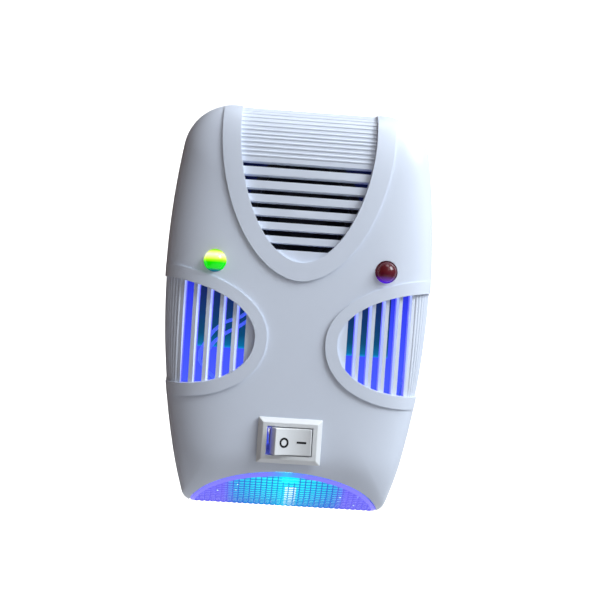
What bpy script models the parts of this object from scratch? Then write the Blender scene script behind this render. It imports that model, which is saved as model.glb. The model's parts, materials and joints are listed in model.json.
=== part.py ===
"""Plug-in ultrasonic pest repeller with three grilles, two lamps and a night light.

The housing is a barrel-shaped front cover on a shallow rear cover.  The origin is the
centre of the rear cover's flat back, which rests against the wall.  +Z is up, the front
looks along -Y and the two plug blades point along +Y.  Every size is in metres.
"""
import math

import bmesh
import bpy
from mathutils import Vector
from mathutils.bvhtree import BVHTree

MM = 0.001
GAP = 0.3 * MM

# Housing
HALF_WIDTH = 45.8 * MM
WIDEST_Z = 10 * MM
SIDE_RADIUS = 275 * MM
TOP_Z = 68.3 * MM
BOTTOM_Z = -68.5 * MM
TOP_CORNER = 17 * MM
BOTTOM_CORNER = 5 * MM
PARTING_Y = -12 * MM
SHOULDER_Y = -32 * MM
FRONT_Y = -46 * MM
SIDE_DRAFT = 1 * MM
CROWN_INSET = 36 * MM
CROWN_POWER = 3.4
BOTTOM_SPREAD = 1.2
CHIN_Z = -47 * MM
CHIN_SWEEP = 0.32
WALL = 2.2 * MM
LIP = 1.2 * MM
BACK_EDGE = 2.4 * MM

# Grilles
BAND_RISE = 0.9 * MM
RECESS = 1.0 * MM
LIFT_AT_WALL = 0.1
SLOT = 2.0 * MM
TOP_ARCH_Z = 59.7 * MM
TOP_ARCH_POWER = 1.9
TOP_BAND_OUTER = (28.7 * MM, 50.1 * MM)
TOP_BAND_INNER = (22.5 * MM, 44.1 * MM)
TOP_SLOTS = 7
TOP_SLOT_FIRST_Z = 20.5 * MM
TOP_SLOT_PITCH = 4.37 * MM
NOSE_Z = -9.7 * MM
UPPER_CENTRE_X = 50 * MM
LOWER_CENTRE_X = 40 * MM
LOWER_POWER = 2.2
SIDE_BAND_OUTER = (9.6 * MM, 22.6 * MM, 20.8 * MM)
SIDE_BAND_INNER = (13.5 * MM, 18.4 * MM, 16.6 * MM)
SIDE_SLOTS = 5
SIDE_SLOT_FIRST_X = 18.0 * MM
SIDE_SLOT_PITCH = 4.45 * MM
RIB_PITCH = 1.5 * MM
RIB_GROOVE = 0.6 * MM
RIB_DEPTH = 0.5 * MM

# Lens and lamps
LENS_HALF_WIDTH = 32.2 * MM
LENS_HEIGHT = 15.1 * MM
LENS_BACK_Y = -23 * MM
LENS_WALL = 1.6 * MM
LENS_FLANGE = 1.4 * MM
LED_X = 28.2 * MM
LED_Z = 14.6 * MM
LED_RADIUS = 3.45 * MM
LED_PROUD = 2.9 * MM

# Rocker switch
SWITCH_Z = -42.8 * MM
BEZEL = Vector((21.0, 2.0, 15.0)) * MM
SWITCH_BODY = Vector((19.0, 14.0, 12.6)) * MM
ROCKER_OPENING = (15.0 * MM, 9.4 * MM)
ROCKER_WIDTH = 8.8 * MM
PIVOT_DEPTH = 2.6 * MM
ROCKER_TILT = math.radians(11)
LEVER_TILT = math.radians(-5.5)
PLUNGER_TIP = 5.2 * MM
LEVER_PIVOT = 5.8 * MM

# Boards and speaker
BOARD_Y = -24 * MM
BOARD_THICK = 1.6 * MM
BOARD_SIZE = (66 * MM, 32 * MM)
BOARD_Z = 1.5 * MM
SPEAKER_Z = 34 * MM
SPEAKER_FRONT_Y = -40.5 * MM
LAMP_BOARD_Z = -56.5 * MM
LAMP_BOARD_Y = -21 * MM

# Plug and screws
BLADE_SPACING = 12.7 * MM
BLADE = Vector((1.52, 17.0, 6.35)) * MM
BLADE_HOLE_FROM_BACK = 11.9 * MM
BLADE_HOLE = 3.2 * MM
PLUG_Z = 12 * MM
COVER_POSTS = [(34 * MM, 47 * MM), (-34 * MM, 47 * MM), (30 * MM, -45 * MM), (-30 * MM, -45 * MM)]
BOARD_POSTS = [(0.0, 4.5 * MM), (0.0, -10 * MM)]
SPEAKER_POSTS = [(25 * MM, SPEAKER_Z), (-25 * MM, SPEAKER_Z)]
SCREW_RADIUS = 1.4 * MM


def clear_scene():
    """Start from an empty scene."""
    for item in list(bpy.data.objects):
        bpy.data.objects.remove(item, do_unlink=True)


def finish(name, colour, roughness, metallic=0.0):
    """A Principled material for one sub-part."""
    material = bpy.data.materials.new(name)
    material.use_nodes = True
    shader = material.node_tree.nodes["Principled BSDF"]
    shader.inputs["Base Color"].default_value = (*colour, 1.0)
    shader.inputs["Roughness"].default_value = roughness
    shader.inputs["Metallic"].default_value = metallic
    material.diffuse_color = (*colour, 1.0)
    return material


def add_object(name, mesh_data, smooth_angle=30):
    """Turn a bmesh into a named object in the scene."""
    bmesh.ops.recalc_face_normals(mesh_data, faces=mesh_data.faces)
    mesh = bpy.data.meshes.new(name)
    mesh_data.to_mesh(mesh)
    mesh_data.free()
    mesh.shade_smooth()
    mesh.set_sharp_from_angle(angle=math.radians(smooth_angle))
    item = bpy.data.objects.new(name, mesh)
    bpy.context.scene.collection.objects.link(item)
    return item


def loft(name, rings, hollow=False):
    """A closed solid through rings of points: its ends are faces, or meet if it is hollow."""
    data = bmesh.new()
    loops = [[data.verts.new(point) for point in ring] for ring in rings]
    if hollow:
        loops.append(loops[0])
    else:
        data.faces.new(loops[0])
        data.faces.new(loops[-1])
    for lower, upper in zip(loops, loops[1:]):
        count = len(lower)
        for i in range(count):
            j = (i + 1) % count
            data.faces.new((lower[i], lower[j], upper[j], upper[i]))
    return add_object(name, data)


def prism(name, outline, near_y, far_y):
    """An outline of (x, z) points drawn out along Y."""
    return loft(name, [[(x, y, z) for x, z in outline] for y in (near_y, far_y)])


def strip_prism(name, outer, inner, near_y, far_y):
    """The open strip between two outlines of equal count, drawn out along Y."""
    data = bmesh.new()
    grid = []
    for y in (near_y, far_y):
        grid.append([[data.verts.new((x, y, z)) for x, z in line] for line in (outer, inner)])
    (near_out, near_in), (far_out, far_in) = grid
    for i in range(len(outer) - 1):
        j = i + 1
        data.faces.new((near_out[i], near_out[j], near_in[j], near_in[i]))
        data.faces.new((far_out[i], far_in[i], far_in[j], far_out[j]))
        data.faces.new((near_out[i], far_out[i], far_out[j], near_out[j]))
        data.faces.new((near_in[i], near_in[j], far_in[j], far_in[i]))
    for i in (0, -1):
        data.faces.new((near_out[i], near_in[i], far_in[i], far_out[i]))
    return add_object(name, data)


def block(name, size, centre, bevel=0.0):
    """A box of the given size, with its edges chamfered when a bevel is given."""
    data = bmesh.new()
    bmesh.ops.create_cube(data, size=1.0)
    bmesh.ops.scale(data, vec=size, verts=data.verts)
    if bevel:
        bmesh.ops.bevel(data, geom=data.edges, offset=bevel, segments=1, affect="EDGES")
    bmesh.ops.translate(data, vec=centre, verts=data.verts)
    return add_object(name, data)


def turned(name, profile, centre, segments=20, direction=(0, 1, 0), hollow=False):
    """A solid of revolution: (radius, distance) pairs along a direction from a centre."""
    turn = Vector((0, 0, 1)).rotation_difference(Vector(direction)).to_matrix()
    rings = []
    for radius, distance in profile:
        ring = []
        for i in range(segments):
            angle = math.tau * i / segments
            local = Vector((radius * math.cos(angle), radius * math.sin(angle), distance))
            ring.append(Vector(centre) + turn @ local)
        rings.append(ring)
    return loft(name, rings, hollow)


def rod(name, radius, start, end, segments=12):
    """A round bar between two points."""
    path = Vector(end) - Vector(start)
    return turned(name, [(radius, 0), (radius, path.length)], start, segments, path.normalized())


def tube(name, points, radius):
    """A round wire along a smooth curve through the given points."""
    spline_points = smooth_path([Vector(point) for point in points])
    curve = bpy.data.curves.new(name, "CURVE")
    curve.dimensions = "3D"
    curve.bevel_depth = radius
    curve.bevel_resolution = 1
    curve.use_fill_caps = True
    spline = curve.splines.new("POLY")
    spline.points.add(len(spline_points) - 1)
    for target, point in zip(spline.points, spline_points):
        target.co = (*point, 1.0)
    item = bpy.data.objects.new(name, curve)
    bpy.context.scene.collection.objects.link(item)
    return item


def smooth_path(points, steps=3):
    """Points along a Catmull-Rom curve through the given points."""
    ends = [points[0] * 2 - points[1]] + points + [points[-1] * 2 - points[-2]]
    path = []
    for a, b, c, d in zip(ends, ends[1:], ends[2:], ends[3:]):
        for i in range(steps):
            t = i / steps
            path.append(0.5 * (2 * b + (c - a) * t + (2 * a - 5 * b + 4 * c - d) * t * t
                               + (3 * b - a - 3 * c + d) * t ** 3))
    path.append(points[-1])
    return path


def combine(target, tool, operation):
    """Apply one exact Boolean to the target and use the tool up."""
    modifier = target.modifiers.new(operation.title(), "BOOLEAN")
    modifier.operation = operation
    modifier.solver = "EXACT"
    modifier.object = tool
    settle(target)
    bpy.data.objects.remove(tool, do_unlink=True)
    return target


def settle(item):
    """Replace an object's mesh by the one its modifiers give."""
    bpy.context.view_layer.update()
    graph = bpy.context.evaluated_depsgraph_get()
    mesh = bpy.data.meshes.new_from_object(item.evaluated_get(graph))
    item.modifiers.clear()
    item.data = mesh


def cut(target, *tools):
    for tool in tools:
        combine(target, tool, "DIFFERENCE")
    return target


def join(target, *tools):
    for tool in tools:
        combine(target, tool, "UNION")
    return target


def keep_common(target, tool):
    return combine(target, tool, "INTERSECT")


def dress(item, material):
    """Give an object its one material."""
    item.data.materials.clear()
    item.data.materials.append(material)
    return item


# ---------------------------------------------------------------- housing surfaces

def corner_arc(height, radius, arc_radius, arc_x):
    """Centre of a corner that touches the side arc, and the angle where it touches."""
    reach = arc_radius - radius
    x = arc_x + math.sqrt(reach ** 2 - (height - WIDEST_Z) ** 2)
    return x, math.atan2(height - WIDEST_Z, x - arc_x)


def housing_outline(inset, offset=0.0):
    """Barrel outline as (x, z) points, drawn in by an inset and grown by an offset."""
    arc_radius = SIDE_RADIUS - inset + offset
    arc_x = HALF_WIDTH - SIDE_RADIUS
    top = TOP_Z - inset + offset
    bottom = BOTTOM_Z + inset * BOTTOM_SPREAD - offset
    top_radius = TOP_CORNER - 0.3 * inset + offset
    bottom_radius = BOTTOM_CORNER + offset
    top_x, top_angle = corner_arc(top - top_radius, top_radius, arc_radius, arc_x)
    low_x, low_angle = corner_arc(bottom + bottom_radius, bottom_radius, arc_radius, arc_x)
    half = [(low_x * i / 4, bottom) for i in range(4)]
    for i in range(5):
        angle = -math.pi / 2 + (low_angle + math.pi / 2) * i / 4
        half.append((low_x + bottom_radius * math.cos(angle),
                     bottom + bottom_radius * (1 + math.sin(angle))))
    for i in range(1, 10):
        angle = low_angle + (top_angle - low_angle) * i / 10
        half.append((arc_x + arc_radius * math.cos(angle), WIDEST_Z + arc_radius * math.sin(angle)))
    for i in range(6):
        angle = top_angle + (math.pi / 2 - top_angle) * i / 5
        half.append((top_x + top_radius * math.cos(angle),
                     top - top_radius * (1 - math.sin(angle))))
    half += [(top_x * i / 4, top) for i in (3, 2, 1, 0)]
    return half + [(-x, z) for x, z in half[-2:0:-1]]


def chin(z):
    """How far the front draws back towards the parting line below the switch."""
    depth = max(0.0, (CHIN_Z - z) / (CHIN_Z - BOTTOM_Z))
    return 1 - CHIN_SWEEP * depth ** 2


def front_rings(offset=0.0, lift=0.0, steps=8):
    """Rings of the front cover's surface, from the parting line to the middle of the front.

    An offset moves the surface out all round; a lift moves the front face and fades out
    towards the side walls, where only a trace of it is left.
    """
    levels = [(0.0, PARTING_Y, 0.0), (SIDE_DRAFT, SHOULDER_Y, 0.0)]
    for i in range(1, steps + 1):
        angle = math.pi / 2 * i / steps
        inset = SIDE_DRAFT + CROWN_INSET * (1 - abs(math.cos(angle)) ** (2 / CROWN_POWER))
        rise = math.sin(angle) ** (2 / CROWN_POWER)
        levels.append((inset, SHOULDER_Y + (FRONT_Y - SHOULDER_Y) * rise, rise))
    rings = []
    for inset, y, rise in levels:
        rings.append([(x, PARTING_Y + (y - PARTING_Y) * chin(z) - (offset + lift) * rise, z)
                      for x, z in housing_outline(inset, offset + LIFT_AT_WALL * lift)])
    return rings


def front_solid(name, offset, lift=0.0):
    """The space inside the front cover's surface, moved by an offset and a lift."""
    return loft(name, front_rings(offset, lift))


def front_shell(name, outer, inner, lift=0.0):
    """The skin between two offsets of the front cover's surface, its outer side lifted."""
    return loft(name, front_rings(outer, lift)[::-1] + front_rings(inner))


def surface_finder():
    """A function that gives the outer surface's Y at any (x, z) on the front."""
    solid = front_solid("finder", 0.0)
    tree = BVHTree.FromObject(solid, bpy.context.evaluated_depsgraph_get())

    def find(x, z):
        return tree.ray_cast(Vector((x, -1.0, z)), Vector((0, 1, 0)))[0].y

    return find, solid


def skin_cutter(tool, recess, depth=0.0):
    """Keep only what of a tool lies outside the surface, sunk by a recess and a depth."""
    return cut(tool, front_solid("sunk", -depth, -recess))


# ---------------------------------------------------------------- grille outlines

def arch(half_width, drop, grow=0.0, steps=10):
    """The open U line of the top grille, from its right end round to its left end."""
    half_width += grow
    drop += grow
    line = [(half_width, TOP_Z + 4 * MM)]
    for i in range(2 * steps + 1):
        angle = math.pi / 2 * i / steps
        side = math.copysign(abs(math.cos(angle)) ** (2 / TOP_ARCH_POWER), math.cos(angle))
        fall = abs(math.sin(angle)) ** (2 / TOP_ARCH_POWER)
        line.append((half_width * side, TOP_ARCH_Z - drop * fall))
    line.append((-half_width, TOP_Z + 4 * MM))
    return line


def side_arch(nose_x, rise, fall, side, grow=0.0, steps=8):
    """The open D line of a side grille, from the upper wall round the nose to the lower."""
    nose_x -= grow
    rise += grow
    fall += grow
    upper = UPPER_CENTRE_X - nose_x
    lower = LOWER_CENTRE_X - nose_x
    line = []
    for i in range(steps + 1):
        angle = math.pi / 2 * (1 - i / steps)
        line.append((UPPER_CENTRE_X - upper * math.cos(angle), NOSE_Z + rise * math.sin(angle)))
    for i in range(1, steps + 1):
        angle = math.pi / 2 * i / steps
        across = abs(math.cos(angle)) ** (2 / LOWER_POWER)
        down = math.sin(angle) ** (2 / LOWER_POWER)
        line.append((LOWER_CENTRE_X - lower * across, NOSE_Z - fall * down))
    line.append((UPPER_CENTRE_X, NOSE_Z - fall))
    return [(side * x, z) for x, z in line]


def lens_outline(grow=0.0, steps=14):
    """The half-moon of the night light, closed below the housing's bottom."""
    line = []
    for i in range(steps + 1):
        angle = math.pi * i / steps
        line.append(((LENS_HALF_WIDTH + grow) * math.cos(angle),
                     BOTTOM_Z + (LENS_HEIGHT + grow) * math.sin(angle)))
    below = BOTTOM_Z - 3 * MM
    return line + [(-LENS_HALF_WIDTH - grow, below), (LENS_HALF_WIDTH + grow, below)]


# ---------------------------------------------------------------- housing parts

FRONT_NEAR = FRONT_Y - 10 * MM
FRONT_FAR = PARTING_Y + 5 * MM


def top_slots():
    """Seven level slots, clipped to the inside of the top band."""
    tools = None
    for i in range(TOP_SLOTS):
        centre = (0, -45 * MM, TOP_SLOT_FIRST_Z + i * TOP_SLOT_PITCH)
        slot = block("slot", (60 * MM, 20 * MM, SLOT), centre)
        tools = join(tools, slot) if tools else slot
    clip = prism("clip", arch(*TOP_BAND_INNER, grow=-0.3 * MM), FRONT_NEAR, FRONT_FAR)
    return keep_common(tools, clip)


def side_slots(side):
    """Five upright slots, clipped to the inside of a side band."""
    tools = None
    for i in range(SIDE_SLOTS):
        centre = (side * (SIDE_SLOT_FIRST_X + i * SIDE_SLOT_PITCH), -45 * MM, NOSE_Z)
        slot = block("slot", (SLOT, 20 * MM, 60 * MM), centre)
        tools = join(tools, slot) if tools else slot
    clip = prism("clip", side_arch(*SIDE_BAND_INNER, side, grow=-0.3 * MM), FRONT_NEAR, FRONT_FAR)
    return keep_common(tools, clip)


def top_rib_grooves():
    """Fine grooves above the slots and over the top edge, between the band's legs."""
    tools = None
    width = 2 * TOP_BAND_INNER[0] - 1.6 * MM
    first = TOP_SLOT_FIRST_Z + TOP_SLOTS * TOP_SLOT_PITCH
    places = []
    z = first
    while z < TOP_Z - 3 * MM:
        places.append(((width, 30 * MM, RIB_GROOVE), (0, -45 * MM, z)))
        z += RIB_PITCH
    y = -41 * MM
    while y < PARTING_Y - 2 * MM:
        places.append(((width, RIB_GROOVE, 12 * MM), (0, y, TOP_Z)))
        y += 2 * RIB_PITCH
    for size, centre in places:
        groove = block("groove", size, centre)
        tools = join(tools, groove) if tools else groove
    return skin_cutter(tools, RECESS, RIB_DEPTH)


def front_cover(surface_y):
    """The white front moulding with its bands, grilles, openings and screw posts."""
    cover = front_shell("front_cover", 0.0, -WALL)
    far = PARTING_Y + 1 * MM
    under = 0.2 * MM
    cut(cover, skin_cutter(prism("sink", arch(*TOP_BAND_INNER, grow=under), FRONT_NEAR, far), RECESS))
    for side in (-1, 1):
        sink = prism("sink", side_arch(*SIDE_BAND_INNER, side, grow=under), FRONT_NEAR, far)
        cut(cover, skin_cutter(sink, RECESS))
    band = front_shell("band", 0.0, -RECESS - 0.3 * MM, BAND_RISE)
    keep_common(band, strip_prism("strip", arch(*TOP_BAND_OUTER), arch(*TOP_BAND_INNER),
                                  FRONT_NEAR, far))
    join(cover, band)
    for side in (-1, 1):
        band = front_shell("band", 0.0, -RECESS - 0.3 * MM, BAND_RISE)
        keep_common(band, strip_prism("strip", side_arch(*SIDE_BAND_OUTER, side),
                                      side_arch(*SIDE_BAND_INNER, side), FRONT_NEAR, far))
        join(cover, band)
    cut(cover, top_rib_grooves())
    cut(cover, top_slots(), side_slots(-1), side_slots(1))
    for side in (-1, 1):
        cut(cover, rod("hole", LED_RADIUS + GAP, (side * LED_X, FRONT_NEAR, LED_Z),
                       (side * LED_X, -35 * MM, LED_Z), 24))
    cut(cover, block("hole", (SWITCH_BODY.x + 2 * GAP, 30 * MM, SWITCH_BODY.z + 2 * GAP),
                     (0, FRONT_Y, SWITCH_Z)))
    cut(cover, prism("hole", lens_outline(), FRONT_NEAR, LENS_BACK_Y))
    posts = [(place, PARTING_Y - GAP, 3.5 * MM) for place in COVER_POSTS]
    posts += [(place, BOARD_Y - GAP, 3.0 * MM) for place in BOARD_POSTS]
    posts += [(place, SPEAKER_FRONT_Y - GAP, 2.8 * MM) for place in SPEAKER_POSTS]
    for (x, z), end_y, radius in posts:
        join(cover, rod("post", radius, (x, end_y, z), (x, surface_y(x, z) + 1.1 * MM, z), 16))
    for (x, z), end_y, radius in posts:
        depth = surface_y(x, z) + 2.6 * MM
        cut(cover, rod("bore", SCREW_RADIUS + GAP, (x, end_y + 1 * MM, z),
                       (x, max(depth, end_y - 16 * MM), z), 12))
    return cover


def rear_rings():
    """Rings of the rear cover: back face, outer wall, rim, lip, inner wall and floor."""
    lip_out = WALL + GAP
    lip_in = lip_out + LIP
    levels = [(BACK_EDGE, 0.0), (BACK_EDGE * 0.3, -0.7 * MM), (0.0, -2.4 * MM),
              (0.0, PARTING_Y + GAP), (lip_out, PARTING_Y + GAP), (lip_out, PARTING_Y - 1.6 * MM),
              (lip_in, PARTING_Y - 1.6 * MM), (lip_in, PARTING_Y + 1.4 * MM),
              (WALL, PARTING_Y + 2.6 * MM), (WALL + 0.6 * MM, -WALL)]
    return [[(x, y, z) for x, z in housing_outline(0.0, -inset)] for inset, y in levels]


def rear_cover():
    """The rear tray with screw sleeves, blade slots, vents and a blade seat."""
    cover = loft("rear_cover", rear_rings())
    for x, z in COVER_POSTS:
        join(cover, rod("sleeve", 4.2 * MM, (x, -1 * MM, z), (x, PARTING_Y + GAP, z), 20))
    seat = block("seat", (26 * MM, 4 * MM, 12 * MM), (0, -3.6 * MM, PLUG_Z))
    join(cover, seat)
    for x, z in COVER_POSTS:
        cut(cover, rod("bore", SCREW_RADIUS + GAP, (x, 1 * MM, z), (x, PARTING_Y - 1 * MM, z), 12))
        cut(cover, rod("counterbore", 3.3 * MM, (x, 1 * MM, z), (x, -6 * MM, z), 20))
    for side in (-1, 1):
        cut(cover, block("slit", (BLADE.x + 2 * GAP, 20 * MM, BLADE.z + 2 * GAP),
                         (side * BLADE_SPACING / 2, 0, PLUG_Z)))
        cut(cover, rod("bore", 0.9 * MM + GAP, (side * 10.5 * MM, -7 * MM, PLUG_Z),
                       (side * 10.5 * MM, -2.5 * MM, PLUG_Z), 10))
    for row in range(4):
        for side in (-1, 1):
            centre = (side * 14 * MM, 0, -31 * MM - row * 4.5 * MM)
            cut(cover, block("vent", (18 * MM, 8 * MM, SLOT), centre))
    return cover


def night_light_lens():
    """The half-moon lens: a clear skin with a flange behind the cover's edge."""
    lens = front_shell("night_light_lens", -0.1 * MM, -LENS_WALL)
    keep_common(lens, prism("moon", lens_outline(-GAP), FRONT_NEAR, LENS_BACK_Y - GAP))
    flange = front_shell("flange", -WALL - GAP, -WALL - GAP - 1.2 * MM)
    keep_common(flange, prism("moon", lens_outline(LENS_FLANGE), FRONT_NEAR, LENS_BACK_Y - GAP))
    cut(flange, prism("middle", lens_outline(-2.4 * MM), FRONT_NEAR, LENS_BACK_Y + 1 * MM))
    web = front_shell("web", -LENS_WALL + 0.4 * MM, -WALL - GAP - 1.2 * MM)
    keep_common(web, prism("moon", lens_outline(-GAP - 0.05 * MM), FRONT_NEAR,
                           LENS_BACK_Y - GAP - 0.1 * MM))
    cut(web, prism("middle", lens_outline(-2.3 * MM), FRONT_NEAR, LENS_BACK_Y + 1 * MM))
    return join(lens, web, flange)


# ---------------------------------------------------------------- rocker switch

def placed(item, pivot, tilt):
    """Put an object's origin on a pivot, turned about the upright axis."""
    item.location = pivot
    item.rotation_euler = (0, 0, tilt)
    return item


def switch_housing(back_y):
    """The snap-in body with its bevelled bezel, hollow for the rocker."""
    bezel_front = back_y - BEZEL.y
    data = bmesh.new()
    bmesh.ops.create_cube(data, size=1.0)
    bmesh.ops.scale(data, vec=BEZEL, verts=data.verts)
    front = [edge for edge in data.edges if all(v.co.y < 0 for v in edge.verts)]
    bmesh.ops.bevel(data, geom=front, offset=1.5 * MM, segments=1, affect="EDGES")
    bmesh.ops.translate(data, vec=(0, back_y - BEZEL.y / 2, SWITCH_Z), verts=data.verts)
    housing = add_object("switch_housing", data)
    body_y = back_y + SWITCH_BODY.y / 2 - 0.5 * MM
    join(housing, block("body", SWITCH_BODY + Vector((0, 1 * MM, 0)), (0, body_y, SWITCH_Z)))
    floor_y = back_y + SWITCH_BODY.y - 1.4 * MM
    middle = (bezel_front - 1 * MM + floor_y) / 2
    cut(housing, block("hollow", (ROCKER_OPENING[0], floor_y - bezel_front + 1 * MM,
                                  ROCKER_OPENING[1]), (0, middle, SWITCH_Z)))
    pivot_y = back_y + PIVOT_DEPTH
    pocket = 5.9 * MM
    cut(housing, rod("pocket", 1.0 * MM + GAP, (0, pivot_y, SWITCH_Z - pocket),
                     (0, pivot_y, SWITCH_Z + pocket), 16))
    for x in (0.0, -6 * MM):
        cut(housing, block("slit", (0.8 * MM + 2 * GAP, 8 * MM, 4.8 * MM + 2 * GAP),
                           (x, floor_y, SWITCH_Z)))
    return housing


def switch_rocker(pivot):
    """The concave rocker with its two trunnions and the hollow stem for the plunger."""
    dish = [(6.1 * math.sin(a) / math.sin(0.36), 5.2 + 1.1 * (1 - math.cos(a)) / (1 - math.cos(0.36)))
            for a in [0.36 * (i - 5) / 5 for i in range(11)]]
    low = [(6.7, 3.2), (6.7, 1.2), (3.2, -0.6), (2.4, -3.8), (-2.4, -3.8), (-3.2, -0.6),
           (-6.7, 1.2), (-6.7, 3.2)]
    outline = [(x * MM, -height * MM) for x, height in dish + low]
    half = ROCKER_WIDTH / 2
    rocker = loft("switch_rocker", [[(x, y, z) for x, y in outline] for z in (-half, half)])
    trunnion = half + 0.9 * MM
    join(rocker, rod("trunnion", 1.0 * MM, (0, 0, -trunnion), (0, 0, trunnion), 16))
    cut(rocker, rod("bore", 1.3 * MM + GAP, (0, 4.5 * MM, 0), (0, -2.0 * MM, 0), 16))
    return placed(rocker, pivot, ROCKER_TILT)


def rocker_plunger(pivot):
    """The round-nosed pin that presses on the contact lever."""
    profile = [(0.4, PLUNGER_TIP / MM), (0.9, 5.0), (1.25, 4.5), (1.25, 2.2), (0.7, 2.2), (0.7, 1.4)]
    plunger = turned("rocker_plunger", [(r * MM, y * MM) for r, y in profile[::-1]], (0, 0, 0), 16)
    return placed(plunger, pivot, ROCKER_TILT)


def rocker_spring(pivot):
    """The coil spring behind the plunger, inside the rocker's stem."""
    turns = 4
    steps = 10
    bottom = 1.9 * MM
    length = 3.3 * MM
    points = []
    for i in range(turns * steps + 1):
        angle = math.tau * i / steps
        points.append((1.15 * MM * math.cos(angle), bottom - length * i / (turns * steps),
                       1.15 * MM * math.sin(angle)))
    curve = bpy.data.curves.new("rocker_spring", "CURVE")
    curve.dimensions = "3D"
    curve.bevel_depth = 0.18 * MM
    curve.bevel_resolution = 0
    curve.use_fill_caps = True
    spline = curve.splines.new("POLY")
    spline.points.add(len(points) - 1)
    for target, point in zip(spline.points, points):
        target.co = (*point, 1.0)
    spring = bpy.data.objects.new("rocker_spring", curve)
    bpy.context.scene.collection.objects.link(spring)
    return placed(spring, pivot, ROCKER_TILT)


def contact_lever(pivot):
    """The metal see-saw that the plunger tips over."""
    lever = block("contact_lever", (10.6 * MM, 0.5 * MM, 4 * MM), (0, -0.05 * MM, 0), 0.1 * MM)
    contact = rod("contact", 1.0 * MM, (-4.2 * MM, 0.05 * MM, 0), (-4.2 * MM, 0.7 * MM, 0), 12)
    join(lever, contact)
    return placed(lever, pivot, LEVER_TILT)


def switch_terminals(back_y, lever_pivot):
    """The saddle terminal under the lever and the fixed contact terminal at the left."""
    end_y = back_y + SWITCH_BODY.y + 7 * MM
    line = block("switch_terminal_line", (0.8 * MM, end_y - lever_pivot.y - 0.6 * MM, 4.8 * MM),
                 (0, (end_y + lever_pivot.y + 0.6 * MM) / 2, SWITCH_Z), 0.1 * MM)
    load_y = lever_pivot.y + 1.6 * MM
    load = block("switch_terminal_load", (0.8 * MM, end_y - load_y, 4.8 * MM),
                 (-6 * MM, (end_y + load_y) / 2, SWITCH_Z), 0.1 * MM)
    foot = block("foot", (3.6 * MM, 0.8 * MM, 4.4 * MM), (-4.6 * MM, load_y + 0.5 * MM, SWITCH_Z))
    join(load, foot)
    return line, load


# ---------------------------------------------------------------- lamps

def lamp(name, side, surface_y):
    """A round lamp: dome, barrel and flange, standing proud of the cover."""
    x = side * LED_X
    face = surface_y(x, LED_Z)
    tip = face - LED_PROUD
    flange = surface_y(side * (LED_X + LED_RADIUS), LED_Z) + WALL + 0.9 * MM
    profile = [(LED_RADIUS * math.cos(a), tip + LED_RADIUS * (1 - math.sin(a)))
               for a in [math.radians(84 - 14 * i) for i in range(7)]]
    rim = LED_RADIUS + 0.6 * MM
    profile += [(LED_RADIUS, flange), (rim, flange), (rim, flange + 1.6 * MM)]
    return turned(name, [(r, y) for r, y in profile], (x, 0, LED_Z), 20), flange + 1.6 * MM


def leads(name, side, start_y):
    """The two wire legs of a lamp, through the circuit board."""
    made = []
    for label, shift in (("anode", 1.27 * MM), ("cathode", -1.27 * MM)):
        x = side * LED_X + shift
        end = (x, BOARD_Y + BOARD_THICK + 1 * MM, LED_Z)
        made.append(rod(f"{name}_{label}", 0.3 * MM, (x, start_y + GAP, LED_Z), end, 8))
    return made


# ---------------------------------------------------------------- boards and speaker

def circuit_board():
    """The main board behind the side grilles, with its screw and lead holes."""
    centre = (0, BOARD_Y + BOARD_THICK / 2, BOARD_Z)
    board = block("circuit_board", (BOARD_SIZE[0], BOARD_THICK, BOARD_SIZE[1]), centre)
    near = BOARD_Y - 1 * MM
    far = BOARD_Y + BOARD_THICK + 1 * MM
    for x, z in BOARD_POSTS:
        cut(board, rod("hole", SCREW_RADIUS + GAP, (x, near, z), (x, far, z), 12))
    for side in (-1, 1):
        for shift in (-1.27 * MM, 1.27 * MM):
            x = side * LED_X + shift
            cut(board, rod("hole", 0.6 * MM, (x, near, LED_Z), (x, far, LED_Z), 8))
    return board


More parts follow.
